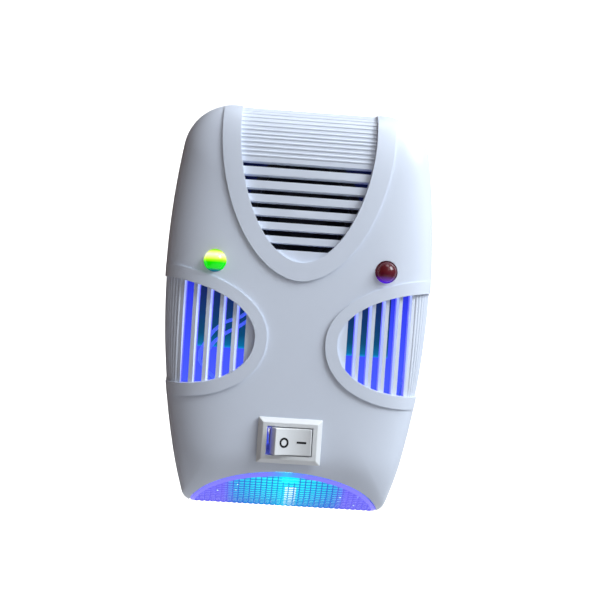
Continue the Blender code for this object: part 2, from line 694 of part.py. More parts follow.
def board_parts():
    """Components on the rear of the main board: (object, material key) pairs."""
    back = BOARD_Y + BOARD_THICK + GAP
    made = []

    def on_board(name, size, x, z, bevel=0.4 * MM):
        size = Vector(size) * MM
        return block(name, size, (x * MM, back + size.y / 2, z * MM), bevel)

    def can(name, radius, length, x, z):
        profile = [(radius - 0.4, 0), (radius, 0.4), (radius, length - 0.4), (radius - 0.4, length)]
        return turned(name, [(r * MM, y * MM) for r, y in profile], (x * MM, back, z * MM), 20)

    def resistor(name, x, z):
        profile = [(0.8, 0), (1.2, 0.4), (1.2, 1.6), (1.0, 2.0), (1.0, 4.4), (1.2, 4.8),
                   (1.2, 6.0), (0.8, 6.4)]
        return turned(name, [(r * MM, d * MM) for r, d in profile],
                      (x * MM, back + 1.3 * MM, z * MM), 12, (0, 0, 1))

    made.append((on_board("film_capacitor", (6.5, 11, 15), -26, -3, 0.6 * MM), "film"))
    made.append((can("smoothing_capacitor", 4.0, 11, -15, -8), "sleeve"))
    made.append((can("timing_capacitor", 2.5, 8, -17, 8), "sleeve"))
    core = turned("coil_core", [(r * MM, y * MM) for r, y in
                                ((5, 0), (5, 1.2), (2.4, 1.2), (2.4, 9), (5, 9), (5, 10.2))],
                  (17 * MM, back, -7 * MM), 20)
    made.append((core, "ferrite"))
    winding = turned("coil_winding", [(4.4 * MM, 1.6 * MM), (4.4 * MM, 8.6 * MM)],
                     (17 * MM, back, -7 * MM), 20)
    cut(winding, rod("bore", 2.7 * MM, (17 * MM, back, -7 * MM), (17 * MM, back + 12 * MM, -7 * MM), 20))
    made.append((winding, "copper"))
    made.append((on_board("controller_chip", (9.5, 3.4, 6.4), 11, 11), "chip"))
    made.append((on_board("driver_transistor", (4.5, 5, 4), 24, 7, 0.3 * MM), "chip"))
    made.append((on_board("bridge_rectifier", (8, 4, 6), -7.5, 0.5), "chip"))
    for index, x in enumerate((24.4, 27.6, 30.8)):
        made.append((resistor(f"resistor_{'abc'[index]}", x, -7 - index), "resistor"))
    return made


def speaker_parts():
    """The round ultrasonic transducer behind the top grille."""
    centre = (0, SPEAKER_FRONT_Y, SPEAKER_Z)
    frame = turned("speaker_frame", [(r * MM, y * MM) for r, y in
                                     ((15.6, 0), (18.6, 0), (18.6, 2), (16.4, 3), (11, 12), (6.5, 12),
                                      (6.5, 10.4), (10.2, 10.4), (15.4, 2.6))], centre, 24,
                   hollow=True)
    for x, z in SPEAKER_POSTS:
        ear = block("ear", (10.4 * MM, 1.6 * MM, 7 * MM),
                    (x * 0.92, SPEAKER_FRONT_Y + 0.8 * MM, z))
        join(frame, ear)
        cut(frame, rod("hole", SCREW_RADIUS + GAP, (x, SPEAKER_FRONT_Y - 1 * MM, z),
                       (x, SPEAKER_FRONT_Y + 3 * MM, z), 12))
    cone = turned("speaker_cone", [(r * MM, y * MM) for r, y in
                                   ((15.2, 0.4), (15.2, 0.9), (9.6, 9.9), (3.2, 9.9), (3.2, 9.4),
                                    (9.2, 9.4), (14.6, 0.4))], centre, 24,
                  hollow=True)
    disc = turned("piezo_disc", [(5.6 * MM, 10.6 * MM), (5.6 * MM, 11.6 * MM)], centre, 28)
    return frame, cone, disc


def lamp_board_parts():
    """The small board behind the lens and its blue night-light lamp."""
    z = LAMP_BOARD_Z
    board = block("lamp_board", (22 * MM, 1.2 * MM, 9 * MM), (0, LAMP_BOARD_Y, z))
    front = LAMP_BOARD_Y - 0.6 * MM
    lamp_profile = [(0.6, -9.0), (1.6, -8.6), (2.3, -7.6), (2.5, -6.5), (2.5, -1.4), (2.9, -1.4),
                    (2.9, -0.4)]
    night_lamp = turned("night_light_led", [(r * MM, front + (y + 0.1) * MM) for r, y in lamp_profile],
                        (0, 0, z), 20)
    bar_y = LAMP_BOARD_Y + 2.2 * MM
    holder = block("lamp_board_bracket", (30 * MM, 2.4 * MM, 5 * MM), (0, bar_y, z))
    leg_end = -WALL - GAP
    for side in (-1, 1):
        join(holder, block("leg", (2.4 * MM, leg_end - bar_y, 4.8 * MM),
                           (side * 13.7 * MM, (leg_end + bar_y) / 2, z)))
    return board, night_lamp, holder


# ---------------------------------------------------------------- plug and screws

def plug_blade(name, side):
    """One flat blade with its contact hole and the thinner tang that runs inside."""
    inside = 12 * MM
    step = 0.25 * MM
    x = side * BLADE_SPACING / 2
    blade = block(name, (BLADE.x, BLADE.y - GAP, BLADE.z), (x, (BLADE.y + GAP) / 2, PLUG_Z))
    tang_end = 3 * MM
    tang = block("tang", (BLADE.x - 2 * step, inside + tang_end, BLADE.z - 2 * step),
                 (x, (tang_end - inside) / 2, PLUG_Z))
    join(blade, tang)
    data = bmesh.new()
    data.from_mesh(blade.data)
    tip = [edge for edge in data.edges if all(v.co.y > BLADE.y - 1 * MM for v in edge.verts)]
    bmesh.ops.bevel(data, geom=tip, offset=0.45 * MM, segments=1, affect="EDGES")
    data.to_mesh(blade.data)
    data.free()
    cut(blade, rod("hole", BLADE_HOLE / 2, (x - 3 * MM, BLADE_HOLE_FROM_BACK, PLUG_Z),
                   (x + 3 * MM, BLADE_HOLE_FROM_BACK, PLUG_Z), 20))
    return blade


def blade_clamp():
    """The moulded bar that holds both blades down in their seat."""
    centre_y = -5.6 * MM - GAP - 1.2 * MM
    clamp = block("blade_clamp", (25 * MM, 2.4 * MM, 11 * MM), (0, centre_y, PLUG_Z))
    for side in (-1, 1):
        cut(clamp, block("slit", (BLADE.x + 2 * GAP, 10 * MM, BLADE.z + 2 * GAP),
                         (side * BLADE_SPACING / 2, centre_y, PLUG_Z)))
        x = side * 10.5 * MM
        cut(clamp, rod("hole", 0.9 * MM + GAP, (x, -12 * MM, PLUG_Z), (x, -4 * MM, PLUG_Z), 10))
    return clamp, centre_y - 1.2 * MM - GAP


def screw(name, place, head_y, length, radius, head_radius, into=-1):
    """A pan-head screw along Y with a cross recess; into is the way its shank points."""
    x, z = place
    head = head_radius
    profile = [(head * 0.55, -1.6 * MM), (head * 0.85, -1.3 * MM), (head, -0.6 * MM), (head, 0.0),
               (radius, 0.0), (radius, length - 1 * MM), (radius * 0.3, length)]
    item = turned(name, profile, (x, head_y, z), 12, (0, into, 0))
    top = head_y - into * 1.6 * MM
    for size in ((head * 1.1, 1.4 * MM, 0.5 * MM), (0.5 * MM, 1.4 * MM, head * 1.1)):
        cut(item, block("cross", size, (x, top, z)))
    return item


def screws(clamp_face):
    """Every screw of the product."""
    made = []
    corners = ("upper_right", "upper_left", "lower_right", "lower_left")
    for corner, place in zip(corners, COVER_POSTS):
        made.append(screw(f"cover_screw_{corner}", place, -6 * MM + GAP, 18 * MM, SCREW_RADIUS,
                          2.7 * MM))
    for label, place in zip(("upper", "lower"), BOARD_POSTS):
        made.append(screw(f"board_screw_{label}", place, BOARD_Y + BOARD_THICK + GAP, 9 * MM,
                          SCREW_RADIUS, 2.4 * MM))
    for label, place in zip(("right", "left"), SPEAKER_POSTS):
        made.append(screw(f"speaker_screw_{label}", place, SPEAKER_FRONT_Y + 1.6 * MM + GAP,
                          3.6 * MM, SCREW_RADIUS, 2.4 * MM))
    for label, side in (("right", 1), ("left", -1)):
        made.append(screw(f"clamp_screw_{label}", (side * 10.5 * MM, PLUG_Z), clamp_face, 6 * MM,
                          0.9 * MM, 1.9 * MM, 1))
    return made


# ---------------------------------------------------------------- wiring

def wires():
    """The insulated wires between plug, boards, switch and speaker."""
    wire = 0.6 * MM
    made = []

    def run(name, *points):
        made.append(tube(name, [Vector(point) * MM for point in points], wire))

    run("plug_wire_right", (8.05, -11.2, 13.5), (8.1, -11.5, 9.5), (9, -13, 5), (7, -17, 0),
        (5, -21.9, -3))
    run("plug_wire_left", (-8.05, -11.2, 13.5), (-8.1, -11.5, 10.5), (-9, -14, 9), (-10, -18, 10),
        (-9.5, -21.9, 12))
    run("speaker_wire_right", (3, -27.5, 26), (5, -26.6, 22), (9, -27.5, 17), (11, -27.5, 12),
        (12, -24.8, 9))
    run("speaker_wire_left", (-3, -27.5, 26), (-5, -26.6, 22), (-9, -27.5, 17), (-11, -27.5, 12),
        (-12, -24.8, 9))
    run("switch_wire_line", (0, -24.8, -42.8), (0.5, -22.5, -40.5), (-9, -25.5, -36),
        (-23, -28, -30.5), (-30, -30, -22), (-28, -31, -14), (-23.5, -31.5, -9.5),
        (-18.5, -30.5, -6.5), (-14, -28, -2.5), (-13, -24.8, 1))
    run("switch_wire_load", (-6, -24.8, -42.8), (-7, -22, -45), (-9, -18.6, -49.5),
        (-8.6, -18.6, -51.8), (-8, -20, -52.8))
    run("lamp_wire_return", (8, -20, -52.8), (8.6, -18.6, -51.6), (11, -18.6, -46), (9, -22, -38),
        (-8, -27.5, -32.5), (-22, -30.5, -27.5), (-31.5, -32, -19), (-28.5, -33, -10.5),
        (-24, -33, -5.8), (-18.5, -32, -3.4), (-14, -29.5, 1), (-13, -24.8, 5))
    return made


def main():
    clear_scene()
    white = finish("white_plastic", (0.78, 0.81, 0.84), 0.32)
    looks = {
        "bezel": finish("bezel_white", (0.84, 0.85, 0.85), 0.35),
        "lens": finish("lens_blue", (0.05, 0.42, 0.95), 0.15),
        "green": finish("green_lamp", (0.15, 0.9, 0.05), 0.1),
        "red": finish("red_lamp", (0.2, 0.01, 0.03), 0.1),
        "board": finish("board_teal", (0.02, 0.2, 0.17), 0.45),
        "film": finish("film_red", (0.5, 0.04, 0.03), 0.4),
        "sleeve": finish("sleeve_black", (0.03, 0.03, 0.05), 0.4),
        "ferrite": finish("ferrite_grey", (0.06, 0.06, 0.06), 0.7),
        "copper": finish("copper_wire", (0.72, 0.3, 0.12), 0.35, 1.0),
        "chip": finish("chip_black", (0.02, 0.02, 0.02), 0.5),
        "resistor": finish("resistor_tan", (0.6, 0.45, 0.28), 0.5),
        "speaker": finish("speaker_black", (0.02, 0.02, 0.03), 0.5),
        "cone": finish("cone_aluminium", (0.25, 0.26, 0.28), 0.4, 1.0),
        "brass": finish("brass", (0.75, 0.55, 0.25), 0.3, 1.0),
        "nickel": finish("nickel", (0.7, 0.68, 0.64), 0.25, 1.0),
        "steel": finish("screw_steel", (0.55, 0.55, 0.56), 0.35, 1.0),
        "blue": finish("night_lamp_blue", (0.1, 0.5, 1.0), 0.1),
        "wire": finish("wire_white", (0.75, 0.75, 0.78), 0.45),
    }
    surface_y, finder = surface_finder()
    dress(front_cover(surface_y), white)
    dress(rear_cover(), white)
    dress(night_light_lens(), looks["lens"])

    seat_y = min(surface_y(x, SWITCH_Z + z) for x in (0, BEZEL.x / 2)
                 for z in (-BEZEL.z / 2, 0, BEZEL.z / 2)) - GAP
    rocker_pivot = Vector((0, seat_y + PIVOT_DEPTH, SWITCH_Z))
    lever_pivot = rocker_pivot + Vector((0, LEVER_PIVOT, 0))
    dress(switch_housing(seat_y), looks["bezel"])
    dress(switch_rocker(rocker_pivot), looks["bezel"])
    dress(rocker_plunger(rocker_pivot), looks["nickel"])
    dress(rocker_spring(rocker_pivot), looks["steel"])
    dress(contact_lever(lever_pivot), looks["brass"])
    for terminal in switch_terminals(seat_y, lever_pivot):
        dress(terminal, looks["brass"])

    for name, side, colour in (("green_led", -1, "green"), ("red_led", 1, "red")):
        body, back_y = lamp(name, side, surface_y)
        dress(body, looks[colour])
        for lead in leads(name, side, back_y):
            dress(lead, looks["nickel"])

    dress(circuit_board(), looks["board"])
    for part, key in board_parts():
        dress(part, looks[key])
    for part, key in zip(speaker_parts(), ("speaker", "cone", "brass")):
        dress(part, looks[key])
    for part, key in zip(lamp_board_parts(), ("board", "blue", "bezel")):
        dress(part, looks[key])

    for name, side in (("plug_blade_right", 1), ("plug_blade_left", -1)):
        dress(plug_blade(name, side), looks["nickel"])
    clamp, clamp_face = blade_clamp()
    dress(clamp, looks["bezel"])
    for item in screws(clamp_face):
        dress(item, looks["steel"])
    for item in wires():
        dress(item, looks["wire"])
    bpy.data.objects.remove(finder, do_unlink=True)


main()
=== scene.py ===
"""Ultrasonic pest repeller: the visible pieces, their finishes and a plain studio."""
import json
import math

import bpy
from mathutils import Matrix, Vector
from mathutils.bvhtree import BVHTree


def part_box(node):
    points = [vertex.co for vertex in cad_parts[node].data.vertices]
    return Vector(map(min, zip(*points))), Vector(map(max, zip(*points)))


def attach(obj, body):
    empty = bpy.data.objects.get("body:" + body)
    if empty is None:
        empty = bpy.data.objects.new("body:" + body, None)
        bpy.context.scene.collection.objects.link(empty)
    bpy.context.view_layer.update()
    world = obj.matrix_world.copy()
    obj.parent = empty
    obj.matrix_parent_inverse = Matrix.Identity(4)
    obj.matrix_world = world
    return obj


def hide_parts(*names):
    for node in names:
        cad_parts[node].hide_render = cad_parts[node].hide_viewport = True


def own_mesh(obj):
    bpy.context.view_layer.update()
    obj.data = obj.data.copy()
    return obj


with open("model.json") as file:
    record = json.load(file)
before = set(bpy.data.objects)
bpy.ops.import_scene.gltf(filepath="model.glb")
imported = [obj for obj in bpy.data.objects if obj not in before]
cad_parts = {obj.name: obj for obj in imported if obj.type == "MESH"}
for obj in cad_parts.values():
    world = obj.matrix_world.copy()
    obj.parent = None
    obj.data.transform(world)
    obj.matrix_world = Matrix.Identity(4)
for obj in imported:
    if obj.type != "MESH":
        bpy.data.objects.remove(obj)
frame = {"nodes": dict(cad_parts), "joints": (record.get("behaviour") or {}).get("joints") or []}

bl_info = {
    "name": "Pest Repeller Builder",
    "version": (1, 0, 0),
    "blender": (4, 5, 0),
    "location": "View3D > Sidebar > Repeller",
    "description": "Builds a plug-in ultrasonic pest repeller piece by piece",
    "category": "Object",
}

MM = 0.001
COVER_LOW, COVER_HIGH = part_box("front_cover")
REAR_LOW, REAR_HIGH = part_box("rear_cover")
RED_LOW, RED_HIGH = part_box("red_led")
HOUSING = "housing"
FRONT_NEAR = COVER_LOW.y - 12 * MM


# ---------------------------------------------------------------- settings

def length(label, words, default):
    """A length property in metres."""
    return bpy.props.FloatProperty(name=label, description=words, default=default,
                                   unit="LENGTH", precision=5)


def tint(label, words, default):
    """A colour property."""
    return bpy.props.FloatVectorProperty(name=label, description=words, default=default,
                                         subtype="COLOR", size=3, min=0.0, max=1.0)


class HousingSizes(bpy.types.PropertyGroup):
    half_width: length("Half width", "Half of the housing's greatest width", REAR_HIGH.x)
    top: length("Top", "Height of the flat top", REAR_HIGH.z)
    bottom: length("Bottom", "Height of the flat bottom", REAR_LOW.z)
    parting: length("Parting line", "Where the two covers meet", COVER_HIGH.y)
    front: length("Front", "The middle of the front face", COVER_LOW.y + 0.9 * MM)
    wall: length("Wall", "Wall thickness of both covers", 2.2 * MM)
    band_rise: length("Band rise", "How far the bands stand proud", 0.72 * MM)
    recess: length("Recess", "How far the grilles are sunk", 1.0 * MM)
    band_edge: length("Band edge", "Radius of the bands' edges", 0.42 * MM)
    slot: length("Slot", "Width of the grille slots", 2.0 * MM)
    rib_pitch: length("Rib pitch", "Spacing of the fine ribs", 1.5 * MM)


class DetailSizes(bpy.types.PropertyGroup):
    lamp_x: length("Lamp offset", "Sideways place of the round lamps", RED_LOW.x / 2 + RED_HIGH.x / 2)
    lamp_z: length("Lamp height", "Height of the round lamps", RED_LOW.z / 2 + RED_HIGH.z / 2)
    lamp_radius: length("Lamp radius", "Radius of the round lamps", 3.45 * MM)
    lens_half_width: length("Lens half width", "Half width of the half-moon lens", 32.2 * MM)
    lens_height: length("Lens height", "Height of the half-moon lens", 15.1 * MM)
    prism_pitch: length("Prism pitch", "Width of one column of prisms", 1.84 * MM)
    switch_z: length("Switch height", "Height of the rocker switch", -42.8 * MM)


class FinishColours(bpy.types.PropertyGroup):
    shell: tint("Housing", "Moulded white of the covers", (0.74, 0.79, 0.885))
    switch: tint("Switch", "Moulded white of the switch", (0.80, 0.815, 0.82))
    lit_green: tint("Lit lamp", "Colour of the lit lamp", (0.0, 0.2, 0.0))
    dark_red: tint("Unlit lamp", "Colour of the unlit lamp", (0.07, 0.003, 0.008))
    night_centre: tint("Night light centre", "Colour at the middle of the lens", (0.0, 0.85, 0.95))
    night_ends: tint("Night light ends", "Colour at the ends of the lens", (0.17, 0.14, 0.88))
    inner_glow: tint("Inner glow", "Light that spills inside the housing", (0.03, 0.07, 1.0))


def housing():
    return bpy.context.scene.repeller_housing


def details():
    return bpy.context.scene.repeller_details


def colours():
    return bpy.context.scene.repeller_colours


def joint_named(name):
    """One of the frame's joints."""
    return next(joint for joint in frame["joints"] if joint["name"] == name)


# ---------------------------------------------------------------- mesh helpers

def deselect():
    if bpy.context.object and bpy.context.object.mode != "OBJECT":
        bpy.ops.object.mode_set(mode="OBJECT")
    bpy.ops.object.select_all(action="DESELECT")


def make_current(piece):
    deselect()
    piece.select_set(True)
    bpy.context.view_layer.objects.active = piece


def modify(piece, kind, **settings):
    """Add a modifier and apply it at once."""
    make_current(piece)
    modifier = piece.modifiers.new(kind.title(), kind)
    for key, value in settings.items():
        setattr(modifier, key, value)
    bpy.ops.object.modifier_apply(modifier=modifier.name)


def carve(piece, tool, operation="DIFFERENCE"):
    """Cut a tool from a piece, or join or intersect the two, and use the tool up."""
    modify(piece, "BOOLEAN", object=tool, operation=operation, solver="EXACT")
    bpy.data.objects.remove(tool, do_unlink=True)


def weld(piece, threshold, flatten=False):
    """Merge points that lie together, and clear the edges inside flat faces when asked."""
    make_current(piece)
    bpy.ops.object.mode_set(mode="EDIT")
    bpy.ops.mesh.select_all(action="SELECT")
    bpy.ops.mesh.remove_doubles(threshold=threshold)
    if flatten:
        bpy.ops.mesh.dissolve_limited(angle_limit=math.radians(1))
    bpy.ops.object.mode_set(mode="OBJECT")


def round_edges(piece, width, segments=2, angle=40):
    """Round the sharp edges and shade the rest smooth."""
    weld(piece, 0.02 * MM)
    modify(piece, "BEVEL", width=width, segments=segments, limit_method="ANGLE",
           angle_limit=math.radians(angle), use_clamp_overlap=True, harden_normals=False)
    smooth(piece)
    modify(piece, "WEIGHTED_NORMAL", keep_sharp=True)


def smooth(piece, angle=32):
    make_current(piece)
    bpy.ops.object.shade_smooth_by_angle(angle=math.radians(angle))
    return piece


def wrapped(name, rings):
    """A flat grid wrapped round into a closed solid through rings of points."""
    around = len(rings[0])
    rows = len(rings) - 1
    deselect()
    bpy.ops.mesh.primitive_grid_add(x_subdivisions=around, y_subdivisions=rows, size=1.0)
    piece = bpy.context.object
    piece.name = name
    for vertex in piece.data.vertices:
        column = round((vertex.co.x + 0.5) * around) % around
        row = round((vertex.co.y + 0.5) * rows)
        vertex.co = rings[row][column]
    bpy.ops.object.mode_set(mode="EDIT")
    bpy.ops.mesh.select_all(action="SELECT")
    bpy.ops.mesh.remove_doubles(threshold=0.001 * MM)
    bpy.ops.mesh.fill_holes(sides=0)
    bpy.ops.mesh.select_all(action="SELECT")
    bpy.ops.mesh.normals_make_consistent(inside=False)
    bpy.ops.object.mode_set(mode="OBJECT")
    return piece


def prism(name, outline, near_y, far_y):
    """An outline of (x, z) points drawn out along Y."""
    return wrapped(name, [[(x, y, z) for x, z in outline] for y in (near_y, far_y)])


def block(name, size, centre):
    """A plain box."""
    deselect()
    bpy.ops.mesh.primitive_cube_add(size=1.0, location=centre, scale=size)
    piece = bpy.context.object
    piece.name = name
    bpy.ops.object.transform_apply(location=True, rotation=True, scale=True)
    return piece


def turned(name, profile, centre, direction=(0, 1, 0), around=48):
    """A turned solid from (radius, distance) pairs along a direction."""
    turn = Vector((0, 0, 1)).rotation_difference(Vector(direction)).to_matrix()
    rings = []
    for radius, distance in profile:
        ring = []
        for i in range(around):
            angle = math.tau * i / around
            local = Vector((radius * math.cos(angle), radius * math.sin(angle), distance))
            ring.append(Vector(centre) + turn @ local)
        rings.append(ring)
    return wrapped(name, rings)


def rod(name, radius, start, end, around=32):
    """A round bar from one point to another."""
    path = Vector(end) - Vector(start)
    return turned(name, [(radius, 0), (radius, path.length)], start, path.normalized(), around)


def strand(name, points, radius):
    """A round bar along points, made a mesh."""
    deselect()
    bpy.ops.curve.primitive_bezier_curve_add()
    piece = bpy.context.object
    piece.name = name
    curve = piece.data
    curve.splines.clear()
    spline = curve.splines.new("POLY")
    spline.points.add(len(points) - 1)
    for target, point in zip(spline.points, points):
        target.co = (*point, 1.0)
    curve.bevel_depth = radius
    curve.bevel_resolution = 2
    curve.use_fill_caps = True
    bpy.ops.object.convert(target="MESH")
    return bpy.context.object


def merge(name, pieces):
    """Join several pieces into one object."""
    deselect()
    for piece in pieces:
        piece.select_set(True)
    bpy.context.view_layer.objects.active = pieces[0]
    bpy.ops.object.join()
    bpy.context.object.name = name
    return bpy.context.object


def complete(piece, material, body=HOUSING, stands_for=()):
    """Give a piece its finish, hide the CAD parts it stands for, and hang it on its body."""
    make_current(piece)
    bpy.ops.object.transform_apply(location=True, rotation=True, scale=True)
    if material:
        piece.data.materials.clear()
        piece.data.materials.append(material)
    if stands_for:
        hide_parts(*stands_for)
    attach(piece, body)
    return piece


def complete_cover(piece, node="front_cover"):
    """Give a piece of the housing its moulded white and hang it on the housing body in place of a CAD
    part.
    """
    complete(piece, finish_named("moulded white"), stands_for=(node,))


def refined(name, node, edge=0.0):
    """A merged copy of a CAD node, with rounded edges and smooth faces."""
    source = frame["nodes"][node]
    piece = bpy.data.objects.new(name, source.data.copy())
    bpy.context.scene.collection.objects.link(piece)
    weld(piece, 0.001 * MM, flatten=True)
    if edge:
        modify(piece, "BEVEL", width=edge, segments=2, limit_method="ANGLE",
               angle_limit=math.radians(30))
    return smooth(piece, 30)


# ---------------------------------------------------------------- finishes

def add_node(tree, kind, values=None):
    """Add a shader node and set some of its inputs."""
    node = tree.nodes.new(f"ShaderNode{kind}")
    for socket, value in (values or {}).items():
        node.inputs[socket].default_value = value
    return node


def link(tree, *joins):
    """Join nodes, each join given as a node, its output, the next node and its input."""
    for source, output, target, socket in joins:
        tree.links.new(source.outputs[output], target.inputs[socket])


def finish(name, colour, roughness, metallic=0.0, shift=0.04, scale=60.0, bump=0.02,
           stretch=(1, 1, 1), spread=0.06):
    """A finish with a slightly uneven colour, roughness and surface."""
    material = bpy.data.materials.new(name)
    material.use_nodes = True
    tree = material.node_tree
    shader = tree.nodes["Principled BSDF"]
    shader.inputs["Metallic"].default_value = metallic
    place = add_node(tree, "TexCoord")
    mapping = add_node(tree, "Mapping", {"Scale": stretch})
    broad = add_node(tree, "TexNoise", {"Scale": scale, "Detail": 3.0})
    fine = add_node(tree, "TexNoise", {"Scale": scale * 40, "Detail": 2.0})
    ramp = add_node(tree, "ValToRGB")
    dark, light = ramp.color_ramp.elements
    dark.position = 0.3
    dark.color = (*[c * (1 - shift) for c in colour], 1)
    light.position = 0.7
    light.color = (*[min(1.0, c * (1 + shift)) for c in colour], 1)
    evenness = add_node(tree, "MapRange", {"To Min": roughness - spread,
                                           "To Max": roughness + spread})
    relief = add_node(tree, "Bump", {"Strength": bump, "Distance": 0.1 * MM})
    link(tree, (place, "Object", mapping, "Vector"), (mapping, "Vector", broad, "Vector"),
         (mapping, "Vector", fine, "Vector"), (broad, "Fac", ramp, "Fac"),
         (ramp, "Color", shader, "Base Color"), (broad, "Fac", evenness, "Value"),
         (evenness, "Result", shader, "Roughness"), (fine, "Fac", relief, "Height"),
         (relief, "Normal", shader, "Normal"))
    return material


PLAIN_FINISHES = {
    "printed black": ((0.004, 0.004, 0.005), 0.8, {"bump": 0.05}),
    "nickel plate": ((0.72, 0.70, 0.66), 0.24,
                     {"metallic": 1.0, "scale": 90, "stretch": (1, 12, 1), "bump": 0.1}),
    "zinc steel": ((0.55, 0.56, 0.58), 0.34, {"metallic": 1.0, "shift": 0.08, "scale": 400}),
    "stamped brass": ((0.72, 0.52, 0.22), 0.3, {"metallic": 1.0, "shift": 0.08, "scale": 200}),
    "dipped red": ((0.42, 0.03, 0.02), 0.3, {"shift": 0.1, "scale": 150, "bump": 0.2}),
    "black sleeve": ((0.02, 0.02, 0.035), 0.38, {"shift": 0.2, "scale": 200}),
    "grey ferrite": ((0.05, 0.05, 0.05), 0.75, {"shift": 0.3, "scale": 800, "bump": 0.4}),
    "wound copper": ((0.65, 0.24, 0.08), 0.35,
                     {"metallic": 0.9, "shift": 0.2, "scale": 60, "stretch": (1, 30, 1), "bump": 0.5}),
    "black epoxy": ((0.015, 0.015, 0.016), 0.55, {"shift": 0.2, "scale": 900, "bump": 0.3}),
    "lacquered tan": ((0.55, 0.40, 0.23), 0.4, {"shift": 0.1, "scale": 300}),
    "speaker black": ((0.012, 0.013, 0.02), 0.5, {"shift": 0.2, "scale": 300}),
    "spun cone": ((0.02, 0.022, 0.032), 0.5, {"metallic": 0.2, "shift": 0.1, "scale": 100}),
}
BOARD_LOW = -14.6 * MM
BOARD_HIGH = 17.5 * MM
# Painted light on the boards: the night light's blue spill, bright at the bottom and fading to dark
# upwards.
BOARD_PAINTED_SPILL = ((0.0, (0.0, 0.28, 0.75)), (0.03, (0.0, 0.14, 0.3)), (0.14, (0.0, 0.06, 0.13)),
               (0.35, (0.003, 0.03, 0.12)), (0.6, (0.005, 0.01, 0.09)), (1.0, (0.003, 0.005, 0.04)))
# Painted light on the inner walls: the night light's blue spill near the bottom, fading to painted
# dark shade towards the top.
WALL_PAINTED_SPILL_AND_SHADE = ((0.0, (0.10, 0.16, 1.0)), (0.3, (0.07, 0.11, 1.0)), (0.52, (0.035, 0.05, 0.85)),
              (0.63, (0.012, 0.015, 0.35)), (0.7, (0.003, 0.005, 0.03)), (1.0, (0.001, 0.002, 0.01)))


def finish_named(name):
    """A finish shared by several pieces, made the first time it is asked for."""
    if name in bpy.data.materials:
        return bpy.data.materials[name]
    if name == "moulded white":
        return finish(name, colours().shell, 0.33, shift=0.012, scale=25, bump=0.05, spread=0.03)
    if name == "switch white":
        return finish(name, colours().switch, 0.36, shift=0.01, bump=0.04, spread=0.03)
    # The boards' own green, with the night light's spill painted on as a blue glow.
    if name == "board green painted spill":
        board = finish(name, (0.006, 0.05, 0.045), 0.35, shift=0.15, scale=300)
        return glow_along(board, "Z", BOARD_LOW, BOARD_HIGH, BOARD_PAINTED_SPILL)
    # The white inner walls get a dark navy colour as painted shade, with the night light's spill
    # painted on as glow.
    if name == "inner wall painted spill and shade":
        wall = finish(name, (0.008, 0.012, 0.05), 0.6, shift=0.1, scale=40)
        return glow_along(wall, "Z", housing().bottom, housing().top, WALL_PAINTED_SPILL_AND_SHADE)
    # The white wires get a blue tint and a blue glow: painted light from the night light.
    if name == "white wire painted blue glow":
        return glow(finish(name, (0.3, 0.4, 0.8), 0.4, scale=200), (0.08, 0.14, 0.95), 0.55)
    colour, roughness, settings = PLAIN_FINISHES[name]
    return finish(name, colour, roughness, **settings)


def glow(material, colour, strength):
    """Let a finish give off light."""
    shader = material.node_tree.nodes["Principled BSDF"]
    shader.inputs["Emission Color"].default_value = (*colour, 1)
    shader.inputs["Emission Strength"].default_value = strength
    return material


def glow_along(material, axis, low, high, stops, strength=1.0, mirrored=False):
    """Let a finish give off light whose colour runs along an axis, from low to high.

    When mirrored, it runs by the distance from the middle instead.
    """
    tree = material.node_tree
    shader = tree.nodes["Principled BSDF"]
    place = tree.nodes["Texture Coordinate"]
    split = add_node(tree, "SeparateXYZ")
    reach = add_node(tree, "MapRange", {"From Min": low, "From Max": high})
    ramp = add_node(tree, "ValToRGB")
    elements = ramp.color_ramp.elements
    elements.remove(elements[1])
    elements[0].position = stops[0][0]
    elements[0].color = (*stops[0][1], 1)
    for position, colour in stops[1:]:
        elements.new(position).color = (*colour, 1)
    link(tree, (place, "Object", split, "Vector"), (reach, "Result", ramp, "Fac"),
         (ramp, "Color", shader, "Emission Color"))
    if mirrored:
        distance = add_node(tree, "Math")
        distance.operation = "ABSOLUTE"
        link(tree, (split, axis, distance, 0), (distance, "Value", reach, "Value"))
    else:
        link(tree, (split, axis, reach, "Value"))
    shader.inputs["Emission Strength"].default_value = strength
    return material


# ---------------------------------------------------------------- housing surfaces

SIDE_RADIUS = 275 * MM
WIDEST_Z = 10 * MM
TOP_CORNER = 17 * MM
BOTTOM_CORNER = 5 * MM
SHOULDER_DEPTH = 20 * MM
SIDE_DRAFT = 1 * MM
CROWN_INSET = 36 * MM
CROWN_POWER = 3.4
BOTTOM_SPREAD = 1.2
CHIN_Z = -47 * MM
CHIN_SWEEP = 0.32
LIFT_AT_WALL = 0.07
WALL_RECESS = 0.7 * MM
RIB_SINK = 0.27 * MM
OUTLINE_STEPS = (16, 12, 48, 24)


def corner_arc(height, radius, arc_radius, arc_x):
    """Centre of a corner that touches the side arc, and the angle where it touches."""
    x = arc_x + math.sqrt((arc_radius - radius) ** 2 - (height - WIDEST_Z) ** 2)
    return x, math.atan2(height - WIDEST_Z, x - arc_x)


